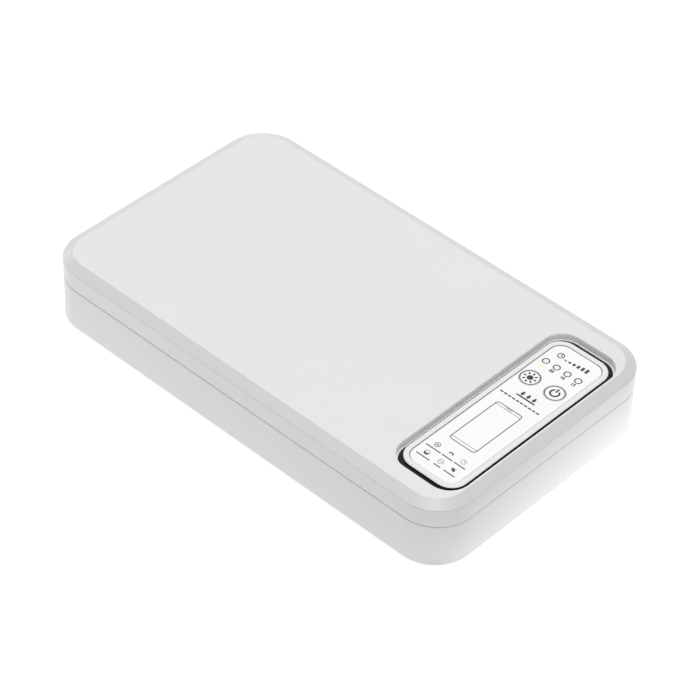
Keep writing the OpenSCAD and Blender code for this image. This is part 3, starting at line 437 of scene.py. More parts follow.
def eased(node, name, body, material, width, steps=2):
    """A copy of a part with all its sharp edges eased by the same small width."""
    piece = moulding(node, name)
    make_active(piece)
    ease = piece.modifiers.new("ease", "BEVEL")
    ease.width = width
    ease.segments = steps
    ease.limit_method = "ANGLE"
    ease.angle_limit = math.radians(40)
    ease.use_clamp_overlap = True
    bpy.ops.object.modifier_apply(modifier=ease.name)
    smooth_by_angle(piece)
    finish_of(piece, material)
    fit(piece, body, node)


eased("pump_cradle", "motor_cradle", "base",
      soft_rubber("cradle_rubber", (0.05, 0.05, 0.052, 1)), 0.3 * MM)
carried("pump_motor", "motor_can", "base",
        rolled_sheet("motor_steel", (0.58, 0.58, 0.57, 1), 0.3, (1, 0.04, 1)))
eased("pump_head", "pump_housing", "base",
      moulded_plastic("pump_nylon", (0.62, 0.60, 0.55, 1), 0.45), pump_ease)
carried("pump_crank", "crank", "pump_crank",
        moulded_plastic("crank_acetal", (0.30, 0.36, 0.42, 1), 0.35))
hose_rubber = clear_plastic("hose_silicone", (0.80, 0.84, 0.84, 1), 0.25, 0.45)
carried("vacuum_hose", "pump_hose", "base", hose_rubber, 50)
carried("vent_hose", "valve_hose", "base", hose_rubber, 50)
eased("vent_valve", "valve_housing", "base",
      moulded_plastic("valve_nylon", (0.14, 0.16, 0.19, 1), 0.4), 0.3 * MM)


# Main board, buzzer and power socket
# A green glass-fibre board on four posts, with its coil, capacitor, chip and plug, a round
# buzzer, and the black power socket that shows in the back wall.
board_green = (0.012, 0.10, 0.045, 1)
trace_green = (0.03, 0.17, 0.075, 1)


def circuit_board(name):
    """Lacquered glass fibre: dark green, with paler copper tracks under the lacquer."""
    material = moulded_plastic(name, board_green, 0.32, 0.0005, 0.000006)
    nodes, links = material.node_tree.nodes, material.node_tree.links
    shader = nodes["Principled BSDF"]
    place = nodes.new("ShaderNodeTexCoord")
    tracks = nodes.new("ShaderNodeTexBrick")
    tracks.inputs["Scale"].default_value = 180
    tracks.inputs["Mortar Size"].default_value = 0.035
    tracks.inputs["Color1"].default_value = board_green
    tracks.inputs["Color2"].default_value = [c * 1.12 for c in board_green[:3]] + [1]
    tracks.inputs["Mortar"].default_value = trace_green
    links.new(place.outputs["Object"], tracks.inputs["Vector"])
    links.new(tracks.outputs["Color"], shader.inputs["Base Color"])
    return material


board_lacquer = circuit_board("board_lacquer")
part_black = moulded_plastic("part_black", (0.022, 0.022, 0.024, 1), 0.38)
carried("main_board", "main_circuit", "base", board_lacquer)
eased("board_parts", "circuit_parts", "base", part_black, 0.15 * MM)
screws("main_board_screws", "circuit_screws", "base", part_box("main_board_screws")[1][2])
carried("buzzer", "buzzer_can", "base", part_black)
eased("power_socket", "socket_body", "base", part_black, 0.15 * MM)


# Cables
# Thin black leads join the main board to the hinge and the hinge to the control board, and a
# red pair runs to the motor. All three lie inside the casings.
lead_black = moulded_plastic("lead_black", (0.018, 0.018, 0.02, 1), 0.42, 0.0008)
lead_red = moulded_plastic("lead_red", (0.42, 0.02, 0.015, 1), 0.40, 0.0008)
carried("base_cable", "base_lead", "base", lead_black, 60)
carried("motor_cable", "motor_lead", "base", lead_red, 60)


# Lid casing
# Two mouldings of the same white ABS: an upright frame, and a cover with a sloping border
# that sits on it with a hairline between. The cover holds the sunken well for the controls.
seam = 0.4 * MM
frame_rim = base_rim + seam
lid_frame_piece = moulding("lid_frame", "lid_frame_casing")
round_sharp_edges(
    lid_frame_piece, rim_round, 3,
    lambda a, b: max(a.z, b.z) < frame_rim + hair and min(a.z, b.z) > frame_rim - hair,
)
smooth_by_angle(lid_frame_piece)
finish_of(lid_frame_piece, moulded_plastic("lid_abs", casing_white, casing_rough))
fit(lid_frame_piece, "lid", "lid_frame")

cover = moulding("lid_cover", "lid_cover_casing")
cover_top = casing_high[2]
cover_round = 0.3 * MM
foam_low, foam_high = (Vector(c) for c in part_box("bezel_foam"))
well_middle = (foam_low + foam_high) / 2
well_edge = 1.4 * MM
well_lip = 0.2 * MM
well_round = 11.4 * MM
well_core = (foam_high - foam_low) / 2 + Vector((1, 1, 0)) * (well_edge - well_round)
# The sloping border is a shade greyer: painted shade, for the lesser light it gets than the flat
# top.
border_painted_shade = (0.66, 0.66, 0.655, 1)
# The well's walls are brighter: painted light, for the light that the deep, narrow well lets in.
well_painted_light = (0.97, 0.97, 0.97, 1)


def lower_than(material, height):
    """A mask that is 1 below a height and 0 above it."""
    nodes, links = material.node_tree.nodes, material.node_tree.links
    place = nodes.new("ShaderNodeTexCoord")
    spot = nodes.new("ShaderNodeSeparateXYZ")
    below = nodes.new("ShaderNodeMath")
    below.operation = "LESS_THAN"
    below.inputs[1].default_value = height
    links.new(place.outputs["Object"], spot.inputs["Vector"])
    links.new(spot.outputs["Z"], below.inputs[0])
    return below.outputs["Value"]


def tint_where(material, mask, colour):
    """Gives a material a second colour where the mask is 1."""
    nodes, links = material.node_tree.nodes, material.node_tree.links
    base = nodes["Principled BSDF"].inputs["Base Color"]
    shade = nodes.new("ShaderNodeMix")
    shade.data_type = "RGBA"
    shade.inputs["B"].default_value = colour
    links.new(mask, shade.inputs["Factor"])
    links.new(base.links[0].from_socket, shade.inputs["A"])
    links.new(shade.outputs["Result"], base)


def cover_plastic(name):
    """The casing's white on the flat top, painted shade on the border, painted light in the well.
    """
    material = moulded_plastic(name, casing_white, casing_rough)
    nodes, links = material.node_tree.nodes, material.node_tree.links
    last = nodes.new("ShaderNodeTexCoord").outputs["Object"]
    for operation, value in (
        ("SUBTRACT", well_middle), ("ABSOLUTE", None), ("SUBTRACT", well_core),
        ("MAXIMUM", (0, 0, 0)), ("MULTIPLY", (1, 1, 0)),
    ):
        node = nodes.new("ShaderNodeVectorMath")
        node.operation = operation
        if value:
            node.inputs[1].default_value = value
        links.new(last, node.inputs[0])
        last = node.outputs["Vector"]
    past = nodes.new("ShaderNodeVectorMath")
    past.operation = "LENGTH"
    outside = nodes.new("ShaderNodeMath")
    outside.operation = "GREATER_THAN"
    outside.inputs[1].default_value = well_round
    edge = nodes.new("ShaderNodeMath")
    edge.operation = "MULTIPLY"
    links.new(last, past.inputs[0])
    links.new(past.outputs["Value"], outside.inputs[0])
    links.new(outside.outputs["Value"], edge.inputs[0])
    links.new(lower_than(material, cover_top - hair), edge.inputs[1])
    inside = nodes.new("ShaderNodeMath")
    inside.operation = "LESS_THAN"
    inside.inputs[1].default_value = well_round
    wall = nodes.new("ShaderNodeMath")
    wall.operation = "MULTIPLY"
    links.new(past.outputs["Value"], inside.inputs[0])
    links.new(inside.outputs["Value"], wall.inputs[0])
    links.new(lower_than(material, cover_top - well_lip), wall.inputs[1])
    # Painted shade on the border, below the flat top and outside the well.
    tint_where(material, edge.outputs["Value"], border_painted_shade)
    # Painted light on the well's walls and floor.
    tint_where(material, wall.outputs["Value"], well_painted_light)
    return material


round_sharp_edges(cover, cover_round, 3, lambda a, b: min(a.z, b.z) > cover_top - hair)
smooth_by_angle(cover, 20)
finish_of(cover, cover_plastic("cover_abs"))
fit(cover, "lid", "lid_cover")


# Lid liner
# A white moulding that closes the lid from below. It carries the magnets, and frames the window
# through which the lamps shine.
carried("lid_liner", "liner_moulding", "lid",
        moulded_plastic("liner_abs", (0.70, 0.705, 0.71, 1), 0.36))
carried("lid_magnets", "liner_magnets", "lid", nickel)


# Lamps
# Three strips of aluminium board under the lid, each with nine lamps. A lamp is a pale package
# with a round dish in its face, and a violet chip that lies in the dish.
dish_radius = 1.25 * MM
lamp_dish = 0.25 * MM
lamp_ease = 0.15 * MM
strip_ease = 0.12 * MM
strip_rows = []
strip_white = moulded_plastic("strip_lacquer", (0.60, 0.61, 0.60, 1), 0.35, 0.0006)
for place in ("front", "middle", "rear"):
    node = "lamp_strip_" + place
    eased(node, "strip_board_" + place, "lid", strip_white, strip_ease)
    strip_low, strip_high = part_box(node)
    strip_rows.append((strip_low[1] + strip_high[1]) / 2)

lamp_ceramic = moulded_plastic(
    "lamp_ceramic", (0.66, 0.64, 0.70, 1), 0.25, 0.0004, 0.000003, coat=0.4)
chip_violet = moulded_plastic("chip_violet", (0.10, 0.05, 0.22, 1), 0.2, 0.0004, 0.000003)
chip_side = 1.3 * MM
chip_rise = 0.1 * MM
lamp_low, lamp_high = (Vector(c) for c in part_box("uv_lamps"))
lamp_side = 3.5 * MM
lamps_per_strip = 9
lamp_step = (lamp_high.x - lamp_low.x - lamp_side) / (lamps_per_strip - 1)
bpy.ops.mesh.primitive_cube_add(
    size=1, location=(lamp_low.x + lamp_side / 2, strip_rows[0], (lamp_low.z + lamp_high.z) / 2),
)
first_lamp = bpy.context.object
first_lamp.scale = (lamp_side, lamp_side, lamp_high.z - lamp_low.z)
settle(first_lamp)
round_edges(first_lamp, lamp_ease, 2, lambda a, b: abs(a.z - b.z) > lamp_ease)
step_in(first_lamp, lambda c, n: n.z < -0.99, lamp_side / 2 - dish_radius, lamp_dish)
bpy.ops.mesh.primitive_cube_add(
    size=1,
    location=(lamp_low.x + lamp_side / 2, strip_rows[0], lamp_low.z + lamp_dish - chip_rise / 2),
)
first_chip = bpy.context.object
first_chip.scale = (chip_side, chip_side, chip_rise)
settle(first_chip)


def on_every_strip(first, name, material):
    """Copies the first lamp's piece to all the lamps' places and joins the copies."""
    pieces = [first]
    for row in strip_rows:
        for k in range(lamps_per_strip):
            shift = Vector((k * lamp_step, row - strip_rows[0], 0))
            if shift.length == 0:
                continue
            piece = first.copy()
            piece.data = first.data.copy()
            piece.data.transform(Matrix.Translation(shift))
            bpy.context.collection.objects.link(piece)
            pieces.append(piece)
    make_active(first)
    for piece in pieces:
        piece.select_set(True)
    bpy.ops.object.join()
    first.name = name
    smooth_by_angle(first)
    finish_of(first, material)
    return first


fit(on_every_strip(first_lamp, "lamp_packages", lamp_ceramic), "lid", "uv_lamps")
fit(on_every_strip(first_chip, "lamp_chips", chip_violet), "lid")
carried("lamp_window", "window_pane", "lid",
        clear_film("window_glass", (0.80, 0.84, 0.88, 1), 0.04, 0.03))


# Membrane and its clamp
# A clear silicone sheet is held by its edge between the liner and a white clamp, with six
# small screws. Under vacuum it is drawn down over the phone.
carried("press_membrane", "silicone_membrane", "lid",
        clear_film("membrane_silicone", (0.72, 0.75, 0.76, 1), 0.12, 0.07))
clamp_round = 0.3 * MM
clamp_rim = 2 * MM
lug_zone = 7 * MM
clamp_low, clamp_high = (Vector(c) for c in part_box("membrane_clamp"))
clamp_middle = (clamp_low + clamp_high) / 2
inner_reach = (clamp_high - clamp_low) / 2 - Vector((clamp_rim, lug_zone, 0))


def on_inner_edge(p):
    away = p - clamp_middle
    return (p.z < clamp_low.z + hair and abs(away.x) < inner_reach.x
            and abs(away.y) < inner_reach.y)


clamp = moulding("membrane_clamp", "clamp_moulding")
round_sharp_edges(clamp, clamp_round, 2, lambda a, b: on_inner_edge(a) and on_inner_edge(b))
smooth_by_angle(clamp)
finish_of(clamp, moulded_plastic("clamp_abs", (0.72, 0.725, 0.73, 1), 0.34))
fit(clamp, "lid", "membrane_clamp")
screws("clamp_screws", "clamp_fixings", "lid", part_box("clamp_screws")[0][2])
screws("lid_screws", "cover_fixings", "lid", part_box("lid_screws")[0][2])


# Control board
# A narrow green board hangs under the well on four screws. It carries two tact switches and
# four small lamps, and the cable from the base ends on its edge.
carried("control_board", "control_circuit", "lid", board_lacquer)
screws("control_board_screws", "control_fixings", "lid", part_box("control_board_screws")[0][2])
plunger_grey = moulded_plastic("plunger_nylon", (0.25, 0.25, 0.26, 1), 0.4)
for use in ("uv", "power"):
    eased(use + "_switch", use + "_tact_switch", "lid", part_black, 0.1 * MM)
    eased(use + "_switch_plunger", use + "_tact_plunger", use + "_button",
          plunger_grey, 0.15 * MM)
eased("indicator_leds", "indicator_chips", "lid",
      moulded_plastic("chip_resin", (0.72, 0.70, 0.42, 1), 0.2, 0.0004), 0.08 * MM)
carried("lid_cable", "lid_lead", "lid", lead_black, 60)


# Foam seal and control bezel
# A sheet of black foam lines the well's floor as a seal, and its black also stands in for the
# shade in the gap round the bezel. The bezel is a white moulding with a raised rim round a
# shallow recess, and below the rim its side is painted black as painted shade in the gap.
rim_ease = 0.2 * MM
bezel_lip = 0.55 * MM
bezel_side_painted_shade = (0.02, 0.02, 0.02, 1)
bezel_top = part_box("control_bezel")[1][2]
overlay_low, overlay_high = (Vector(c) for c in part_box("control_overlay"))
overlay_top = overlay_high.z
# The foam is a real seal; its black also stands in for the shade in the gap round the bezel.
carried("bezel_foam", "foam_seal", "lid",
        soft_rubber("foam_black", (0.012, 0.012, 0.012, 1), 0.9))
bezel = moulding("control_bezel", "bezel_moulding")
round_sharp_edges(bezel, rim_ease, 3, lambda a, b: min(a.z, b.z) > bezel_top - fine_hair)
smooth_by_angle(bezel, 25)
bezel_plastic = moulded_plastic("bezel_abs", (0.84, 0.84, 0.84, 1), 0.3)
# Below the rim the bezel's side is painted black: painted shade in the narrow gap round it.
tint_where(bezel_plastic, lower_than(bezel_plastic, bezel_top - bezel_lip), bezel_side_painted_shade)
finish_of(bezel, bezel_plastic)
fit(bezel, "lid", "control_bezel")


# Overlay
# A white polyester sheet stuck into the bezel's recess, with holes for the buttons and the
# indicators. One lamp behind it is lit, and its glow is painted on the sheet in pale yellow
# green.
# The lit lamp's glow through the sheet is painted into the sheet's colour.
glow_x, glow_y = 89.7, 34.4
glow_place = Vector((glow_x * MM, glow_y * MM + casing_middle.y, overlay_top))
glow_radius = 1.5 * MM
glow_spread = 0.45
painted_glow_colour = (0.86, 0.95, 0.42, 1)
sheet_white = (0.97, 0.97, 0.97, 1)


def printed_sheet(name):
    """White polyester with a satin face, with a painted glow round the lamp that is lit behind
    it.
    """
    material = moulded_plastic(name, sheet_white, 0.35, 0.0003, 0.000002)
    nodes, links = material.node_tree.nodes, material.node_tree.links
    shader = nodes["Principled BSDF"]
    place = nodes.new("ShaderNodeTexCoord")
    centre = nodes.new("ShaderNodeMapping")
    centre.inputs["Location"].default_value = [-v / glow_radius for v in glow_place]
    centre.inputs["Scale"].default_value = [1 / glow_radius] * 3
    ball = nodes.new("ShaderNodeTexGradient")
    ball.gradient_type = "QUADRATIC_SPHERE"
    tinted = nodes.new("ShaderNodeMix")
    tinted.data_type = "RGBA"
    tinted.inputs["A"].default_value = sheet_white
    tinted.inputs["B"].default_value = painted_glow_colour
    strength = nodes.new("ShaderNodeMath")
    strength.operation = "POWER"
    strength.inputs[1].default_value = glow_spread
    links.new(place.outputs["Object"], centre.inputs["Vector"])
    links.new(centre.outputs["Vector"], ball.inputs["Vector"])
    links.new(ball.outputs["Fac"], strength.inputs[0])
    links.new(strength.outputs["Value"], tinted.inputs["Factor"])
    links.new(tinted.outputs["Result"], shader.inputs["Base Color"])
    return material


carried("control_overlay", "overlay_sheet", "lid",
        printed_sheet("overlay_polyester"))


# Print on the overlay
# Black ink, screen printed: rings round the indicators with plain numbers, a phone outline, a
# press symbol, small pictograms and plain rules. Each mark is a film of ink on the sheet.
ink_film = 0.03 * MM
ink_line = 0.5
ink_height = overlay_top
ink = moulded_plastic("ink_black", (0.022, 0.022, 0.024, 1), 0.42, 0.0003, 0.000002)
ink_grey = moulded_plastic("ink_grey", (0.075, 0.075, 0.078, 1), 0.42, 0.0003, 0.000002)


def on_panel(x, y):
    """A place at the ink's height, in millimetres from the middle of the casing."""
    return (x * MM, y * MM + casing_middle.y, ink_height)


def raise_ink(piece):
    """Turns a flat outline into a film of ink that stands a little above the sheet."""
    settle(piece)
    bpy.ops.object.mode_set(mode="EDIT")
    bpy.ops.mesh.select_all(action="SELECT")
    bpy.ops.mesh.extrude_region_move(TRANSFORM_OT_translate={"value": (0, 0, ink_film)})
    bpy.ops.mesh.select_all(action="SELECT")
    bpy.ops.mesh.normals_make_consistent(inside=False)
    bpy.ops.object.mode_set(mode="OBJECT")
    return piece


def open_middle(piece, line):
    """Leaves only a line of the given width along the outline of a flat shape."""
    settle(piece)
    bpy.ops.object.mode_set(mode="EDIT")
    bpy.ops.mesh.select_all(action="SELECT")
    bpy.ops.mesh.inset(thickness=line)
    bpy.ops.mesh.delete(type="FACE")
    bpy.ops.object.mode_set(mode="OBJECT")


def ink_disc(x, y, radius, corners=40, turn=0.0, flat=1.0):
    bpy.ops.mesh.primitive_circle_add(
        vertices=corners, radius=radius * MM, fill_type="NGON", location=on_panel(x, y),
        rotation=(0, 0, math.radians(turn)),
    )
    bpy.context.object.scale.y = flat
    return raise_ink(bpy.context.object)


def ink_ring(x, y, radius, line, corners=56, keep=None):
    """A printed ring, or the part of it whose bearing from its middle passes keep."""
    bpy.ops.mesh.primitive_circle_add(
        vertices=corners, radius=radius * MM, fill_type="NGON", location=on_panel(x, y),
    )
    ring = bpy.context.object
    open_middle(ring, line * MM)
    if keep:
        middle = Vector(on_panel(x, y))
        pick_faces(ring, lambda c, n: not keep(
            math.degrees(math.atan2(c.y - middle.y, c.x - middle.x)) % 360))
        bpy.ops.object.mode_set(mode="EDIT")
        bpy.ops.mesh.delete(type="FACE")
        bpy.ops.object.mode_set(mode="OBJECT")
    return raise_ink(ring)


def ink_bar(x, y, length, width, turn=0.0):
    bpy.ops.mesh.primitive_plane_add(
        size=1, location=on_panel(x, y), rotation=(0, 0, math.radians(turn)),
    )
    bpy.context.object.scale = (length * MM, width * MM, 1)
    return raise_ink(bpy.context.object)


def ink_frame(left, right, low, high, radius, line):
    """A printed rectangle with round corners."""
    bpy.ops.mesh.primitive_plane_add(
        size=1, location=on_panel((left + right) / 2, (low + high) / 2),
    )
    outline = bpy.context.object
    outline.scale = ((right - left) * MM, (high - low) * MM, 1)
    settle(outline)
    bpy.ops.object.mode_set(mode="EDIT")
    bpy.ops.mesh.select_all(action="SELECT")
    bpy.ops.mesh.bevel(offset=radius * MM, segments=8, affect="VERTICES")
    bpy.ops.object.mode_set(mode="OBJECT")
    open_middle(outline, line * MM)
    return raise_ink(outline)


number_weight = 0.1 * MM
text_size = 1.4         # a text's size for each millimetre of its digits


def ink_number(x, y, digits, height):
    bpy.ops.object.text_add(location=on_panel(x, y))
    number = bpy.context.object
    number.data.body = digits
    number.data.size = height * MM * text_size
    number.data.offset = number_weight
    number.data.align_x = "CENTER"
    number.data.align_y = "CENTER"
    bpy.ops.object.convert(target="MESH")
    return raise_ink(bpy.context.object)


def printed(name, body, marks, material):
    """Joins marks into one layer of print that rides with the part it is printed on."""
    make_active(marks[0])
    for mark in marks:
        mark.select_set(True)
    bpy.ops.object.join()
    layer = marks[0]
    layer.name = name
    finish_of(layer, material)
    fit(layer, body)


# The rings, their numbers, and a dial with growing steps above them.
indicator_x = (89.3, 95.65, 102.0, 108.35)
indicator_y = 38.2
indicator_radius = 1.9
marks = [ink_ring(x, indicator_y, indicator_radius, ink_line) for x in indicator_x]
number_y = 34.7
number_height = 1.75
number_left = 0.1
for x, digits in zip(indicator_x[1:], ("05", "10", "15")):
    marks.append(ink_number(x - number_left, number_y, digits, number_height))
dial_x, dial_y = 91.9, 45.7
hand = 0.45
marks += [
    ink_ring(dial_x, dial_y, 1.8, ink_line),
    ink_bar(dial_x, dial_y + 0.5, hand, 1.2),
    ink_bar(dial_x + 0.4, dial_y, 1.0, hand),
]
step_x, step_y, step_pitch, step_width = 95.4, 44.3, 2.35, 1.35
step_first, step_more = 0.7, 0.45
for k in range(6):
    step_height = step_first + step_more * k
    marks.append(
        ink_bar(step_x + k * step_pitch, step_y + step_height / 2, step_width, step_height)
    )

# The press symbol: three arrows that point down at a sheet, over a row of short bars.
press_x, press_y = 99.5, 12.2
arrow_pitch, arrow_head, arrow_shaft = 3.3, 1.7, 2.9
marks.append(ink_bar(press_x, press_y, 10.6, 0.85))
for x in (press_x - arrow_pitch, press_x, press_x + arrow_pitch):
    marks.append(ink_bar(x, press_y + arrow_shaft, 1.0, 1.3))
    marks.append(ink_disc(x, press_y + arrow_head, 1.25, corners=3, turn=180))
caption_x, caption_y, caption_pitch = 88.3, 8.9, 2.35
for k in range(10):
    marks.append(ink_bar(caption_x + caption_pitch * k, caption_y, 1.75, 0.8))
printed("panel_print", "lid", marks, ink)

# A fine line round the sheet, and the phone outline with its speaker slot.
sheet_half = (overlay_high - overlay_low) / 2 / MM
sheet_x = (overlay_high + overlay_low).x / 2 / MM
sheet_radius = 6.1
phone_left, phone_right, phone_low, phone_high = 91.3, 106.5, -30.1, 2.9
phone_x = (phone_left + phone_right) / 2
screen_width = phone_right - phone_left - 0.6
fine = 0.24
marks = [
    ink_frame(
        sheet_x - sheet_half.x, sheet_x + sheet_half.x, -sheet_half.y, sheet_half.y,
        sheet_radius, 0.26,
    ),
    ink_frame(phone_left, phone_right, phone_low, phone_high, 1.8, 0.45),
    ink_bar(phone_x, phone_high - 1.9, screen_width, fine),
    ink_bar(phone_x, phone_low + 2.1, screen_width, fine),
    ink_frame(phone_x - 1.7, phone_x + 1.7, phone_high - 1.3, phone_high - 0.65, 0.3, 0.14),
]

# Two rows of three pictograms, each over a plain rule.
first_x, second_x, third_x = 91.3, 99.4, 106.7
upper, lower = -37.1, -44.0
marks += [
    ink_ring(first_x, upper, 1.55, 0.28),
    ink_bar(first_x, upper + 0.2, 1.7, 0.5),
    ink_bar(first_x - 0.5, upper - 0.6, 0.5, 0.5),
    ink_bar(first_x + 0.5, upper - 0.6, 0.5, 0.5),
    ink_ring(second_x, upper - 0.5, 1.4, 0.7, keep=lambda a: a < 180),
    ink_ring(third_x, upper, 1.5, 0.2),
    ink_bar(third_x, upper + 0.35, 0.25, 0.9),
    ink_bar(third_x + 0.3, upper, 0.75, 0.25),
    ink_ring(first_x, lower, 1.5, 0.25),
    ink_ring(first_x, lower, 1.3, 1.0, keep=lambda a: a > 180),
    ink_ring(second_x, lower, 1.5, 0.22),
    ink_bar(second_x - 0.45, lower, 0.5, 0.5),
    ink_bar(second_x + 0.45, lower, 0.5, 0.5),
    ink_disc(third_x, lower, 1.35, flat=0.62, turn=-35),
    ink_bar(third_x + 0.9, lower + 0.9, 1.0, 0.25, turn=45),
]
upper_rule, lower_rule, rule_width = upper - 3.1, lower - 3.0, 0.62
rules = [
    (87.2, 95.8, upper_rule), (96.7, 102.7, upper_rule), (103.8, 110.2, upper_rule),
    (87.7, 95.4, lower_rule), (97.9, 101.7, lower_rule), (103.8, 110.2, lower_rule),
]
for left, right, y in rules:
    marks.append(ink_bar((left + right) / 2, y, right - left, rule_width))
printed("panel_pictograms", "lid", marks, ink_grey)


# Indicator lenses
# Four milky light guides in the overlay's holes, each with a collar under the bezel and an
# eased rim.
lens_ease = 0.15 * MM
lens_white = clear_plastic("lens_acrylic", (0.98, 0.98, 0.98, 1), 0.12, 0.05)
for k in range(1, 5):
    node = "indicator_lens_%d" % k
    lens_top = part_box(node)[1][2]
    lens = moulding(node, "light_guide_%d" % k)
    round_sharp_edges(lens, lens_ease, 2, lambda a, b: min(a.z, b.z) > lens_top - fine_hair)
    smooth_by_angle(lens)
    finish_of(lens, lens_white)
    fit(lens, "lid", node)


# Buttons
# Two round white caps, each turned up from a collar that keeps it in the bezel, with an eased
# rim. The sun stands for the lamps, and the broken ring is the power sign.
cap_ease = 0.15 * MM
collar = 0.5 * MM
collar_lap = 0.8 * MM
cap_white = moulded_plastic("button_abs", (0.97, 0.97, 0.97, 1), 0.32, 0.0005)


def button_cap(use):
    """Makes a cap, and gives back the middle of its top."""
    node = use + "_button"
    low, high = (Vector(c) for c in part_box(node))
    middle = (low + high) / 2
    cap = turned_disc(use + "_cap", middle, (high.x - low.x) / 2, low.z, low.z + collar, 96)
    step_in(cap, lambda c, n: n.z > 0.99, collar_lap, high.z - low.z - collar)
    round_edges(cap, cap_ease, 4, lambda a, b: min(a.z, b.z) > high.z - fine_hair)
    smooth_by_angle(cap)
    finish_of(cap, cap_white)
    fit(cap, node, node)
    return Vector((middle.x, middle.y, high.z))


sun_place = button_cap("uv")
power_place = button_cap("power")
ink_height = power_place.z
sun_x, power_x = sun_place.x / MM, power_place.x / MM
button_y = (sun_place.y - casing_middle.y) / MM
cap_ring = 4.88
ray_out, ray_length, ray_width = 2.85, 1.4, 0.8
marks = [ink_ring(sun_x, button_y, cap_ring, ink_line, 72), ink_disc(sun_x, button_y, 1.55)]
for turn in range(0, 360, 45):
    ray_x = sun_x + ray_out * math.cos(math.radians(turn))
    ray_y = button_y + ray_out * math.sin(math.radians(turn))
    marks.append(ink_bar(ray_x, ray_y, ray_length, ray_width, turn))
printed("uv_cap_print", "uv_button", marks, ink)
marks = [
    ink_ring(power_x, button_y, cap_ring, ink_line, 72),
    ink_ring(power_x, button_y, 2.6, 0.9, keep=lambda a: not 55 < a < 125),
    ink_bar(power_x, button_y + 1.95, 0.85, 2.7),
]
printed("power_cap_print", "power_button", marks, ink)


# Studio
# A white floor that only shows a soft shadow, a white surround and four soft lamps. The camera
# and mirror-like surfaces see plain white. The light that the floor throws on the object
# changes from place to place, and is weaker behind the box and to its left.
def pure_view(nodes, links):
    """Is 1 for what the camera sees, straight or through gloss and glass, and 0 for light."""
    path = nodes.new("ShaderNodeLightPath")
    gloss = nodes.new("ShaderNodeMath")
    gloss.operation = "MAXIMUM"
    seen = nodes.new("ShaderNodeMath")
    seen.operation = "MAXIMUM"
    links.new(path.outputs["Is Glossy Ray"], gloss.inputs[0])
    links.new(path.outputs["Is Transmission Ray"], gloss.inputs[1])
    links.new(path.outputs["Is Camera Ray"], seen.inputs[0])
    links.new(gloss.outputs["Value"], seen.inputs[1])
    return seen.outputs["Value"]


# How brightly the floor lights the object: by the distance to the right of the middle, by the
# distance behind it, and by a share for the part of the floor behind and left of the box.
bounce_from, bounce_to, bounce_most = -0.16, 0.24, 1.8
bounce_steps = ((0.0, 1.0), (0.30, 0.92), (0.66, 0.85), (0.74, 0.92), (0.82, 0.92), (0.90, 0.10))
front_y, front_bounce = -0.10, 0.54
back_y, back_bounce = 0.06, 1.08
hidden_share = 0.5

# How bright the camera sees the floor where it lies under the box's shadow, and where it fades
# out to plain white.
near, far = 0.3, 1.1
near_level = 0.72
bpy.ops.mesh.primitive_plane_add(size=40, location=(0, 0, -0.0001))
floor = bpy.context.object
floor.name = "studio_floor"
floor_paint = bpy.data.materials.new("floor_white")
floor_paint.use_nodes = True
floor_paint.cycles.emission_sampling = "NONE"
nodes, links = floor_paint.node_tree.nodes, floor_paint.node_tree.links
nodes.clear()
place = nodes.new("ShaderNodeTexCoord")

away = nodes.new("ShaderNodeVectorMath")
away.operation = "LENGTH"
fade = nodes.new("ShaderNodeMapRange")
fade.inputs["From Min"].default_value = near
fade.inputs["From Max"].default_value = far
fade.inputs["To Min"].default_value = near_level
fade.inputs["To Max"].default_value = 1.0
glow = nodes.new("ShaderNodeEmission")
glow.inputs["Color"].default_value = (1, 1, 1, 1)
paint = nodes.new("ShaderNodeBsdfDiffuse")
paint.inputs["Color"].default_value = (0.5, 0.5, 0.5, 1)
both = nodes.new("ShaderNodeAddShader")
links.new(place.outputs["Object"], away.inputs[0])
links.new(away.outputs["Value"], fade.inputs["Value"])
links.new(fade.outputs["Result"], glow.inputs["Strength"])
links.new(glow.outputs[0], both.inputs[0])
links.new(paint.outputs[0], both.inputs[1])

along = nodes.new("ShaderNodeSeparateXYZ")
bounce = nodes.new("ShaderNodeMapRange")
bounce.inputs["From Min"].default_value = bounce_from
bounce.inputs["From Max"].default_value = bounce_to
steps = nodes.new("ShaderNodeValToRGB")
ramp = steps.color_ramp.elements
while len(ramp) < len(bounce_steps):
    ramp.new(0.5)
for stop, (where, tone) in zip(ramp, bounce_steps):
    stop.position = where
    stop.color = (tone, tone * 0.995, tone * 0.985, 1)
rise = nodes.new("ShaderNodeMapRange")
rise.inputs["From Min"].default_value = front_y
rise.inputs["From Max"].default_value = back_y
rise.inputs["To Min"].default_value = bounce_most * front_bounce
rise.inputs["To Max"].default_value = bounce_most * back_bounce
behind = nodes.new("ShaderNodeMath")
behind.operation = "GREATER_THAN"
behind.inputs[1].default_value = casing_low[1]
leftward = nodes.new("ShaderNodeMath")
leftward.operation = "LESS_THAN"
leftward.inputs[1].default_value = casing_high[0]
hidden = nodes.new("ShaderNodeMath")
hidden.operation = "MULTIPLY"
dim = nodes.new("ShaderNodeMapRange")
dim.inputs["To Min"].default_value = 1.0
dim.inputs["To Max"].default_value = hidden_share
strength = nodes.new("ShaderNodeMath")
strength.operation = "MULTIPLY"
plain = nodes.new("ShaderNodeEmission")
links.new(place.outputs["Object"], along.inputs["Vector"])
links.new(along.outputs["X"], bounce.inputs["Value"])
links.new(bounce.outputs["Result"], steps.inputs["Fac"])
links.new(steps.outputs["Color"], plain.inputs["Color"])
links.new(along.outputs["Y"], rise.inputs["Value"])
links.new(along.outputs["Y"], behind.inputs[0])
links.new(along.outputs["X"], leftward.inputs[0])
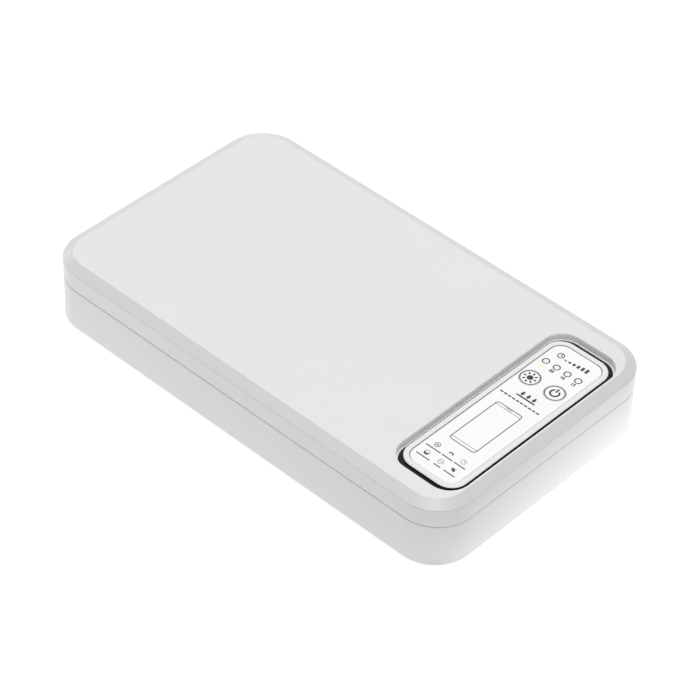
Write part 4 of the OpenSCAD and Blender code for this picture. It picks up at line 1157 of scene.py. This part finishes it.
links.new(behind.outputs["Value"], hidden.inputs[0])
links.new(leftward.outputs["Value"], hidden.inputs[1])
links.new(hidden.outputs["Value"], dim.inputs["Value"])
links.new(rise.outputs["Result"], strength.inputs[0])
links.new(dim.outputs["Result"], strength.inputs[1])
links.new(strength.outputs["Value"], plain.inputs["Strength"])

pick = nodes.new("ShaderNodeMixShader")
under = nodes.new("ShaderNodeNewGeometry")
clear = nodes.new("ShaderNodeBsdfTransparent")
one_sided = nodes.new("ShaderNodeMixShader")
output = nodes.new("ShaderNodeOutputMaterial")
links.new(pure_view(nodes, links), pick.inputs["Fac"])
links.new(plain.outputs[0], pick.inputs[1])
links.new(both.outputs[0], pick.inputs[2])
links.new(under.outputs["Backfacing"], one_sided.inputs["Fac"])
links.new(pick.outputs[0], one_sided.inputs[1])
links.new(clear.outputs[0], one_sided.inputs[2])
links.new(one_sided.outputs[0], output.inputs["Surface"])
finish_of(floor, floor_paint)

surround = 0.5
world = bpy.data.worlds.new("studio_white")
bpy.context.scene.world = world
world.use_nodes = True
nodes, links = world.node_tree.nodes, world.node_tree.links
sky = nodes["Background"]
sky.inputs["Color"].default_value = (1, 1, 1, 1)
level = nodes.new("ShaderNodeMapRange")
level.inputs["To Min"].default_value = surround
level.inputs["To Max"].default_value = 1.0
links.new(pure_view(nodes, links), level.inputs["Value"])
links.new(level.outputs["Result"], sky.inputs["Strength"])


lamp_size = 0.7


def soft_lamp(name, place, power):
    """A large square lamp that looks at the middle of the box."""
    bpy.ops.object.light_add(type="AREA", location=place)
    lamp = bpy.context.object
    lamp.name = name
    lamp.data.size = lamp_size
    lamp.data.energy = power
    lamp.rotation_euler = (Vector(place) - aim).to_track_quat("Z", "Y").to_euler()


soft_lamp("top_lamp", (0, 0, 1.6), 8.2)
soft_lamp("left_lamp", (-1.3, 0.3, 0.7), 3)
soft_lamp("right_lamp", (1.2, -0.1, 1.1), 4)
soft_lamp("front_lamp", (0.1, -1.55, 0.3), 1.5)
bpy.context.scene.view_settings.view_transform = "Standard"
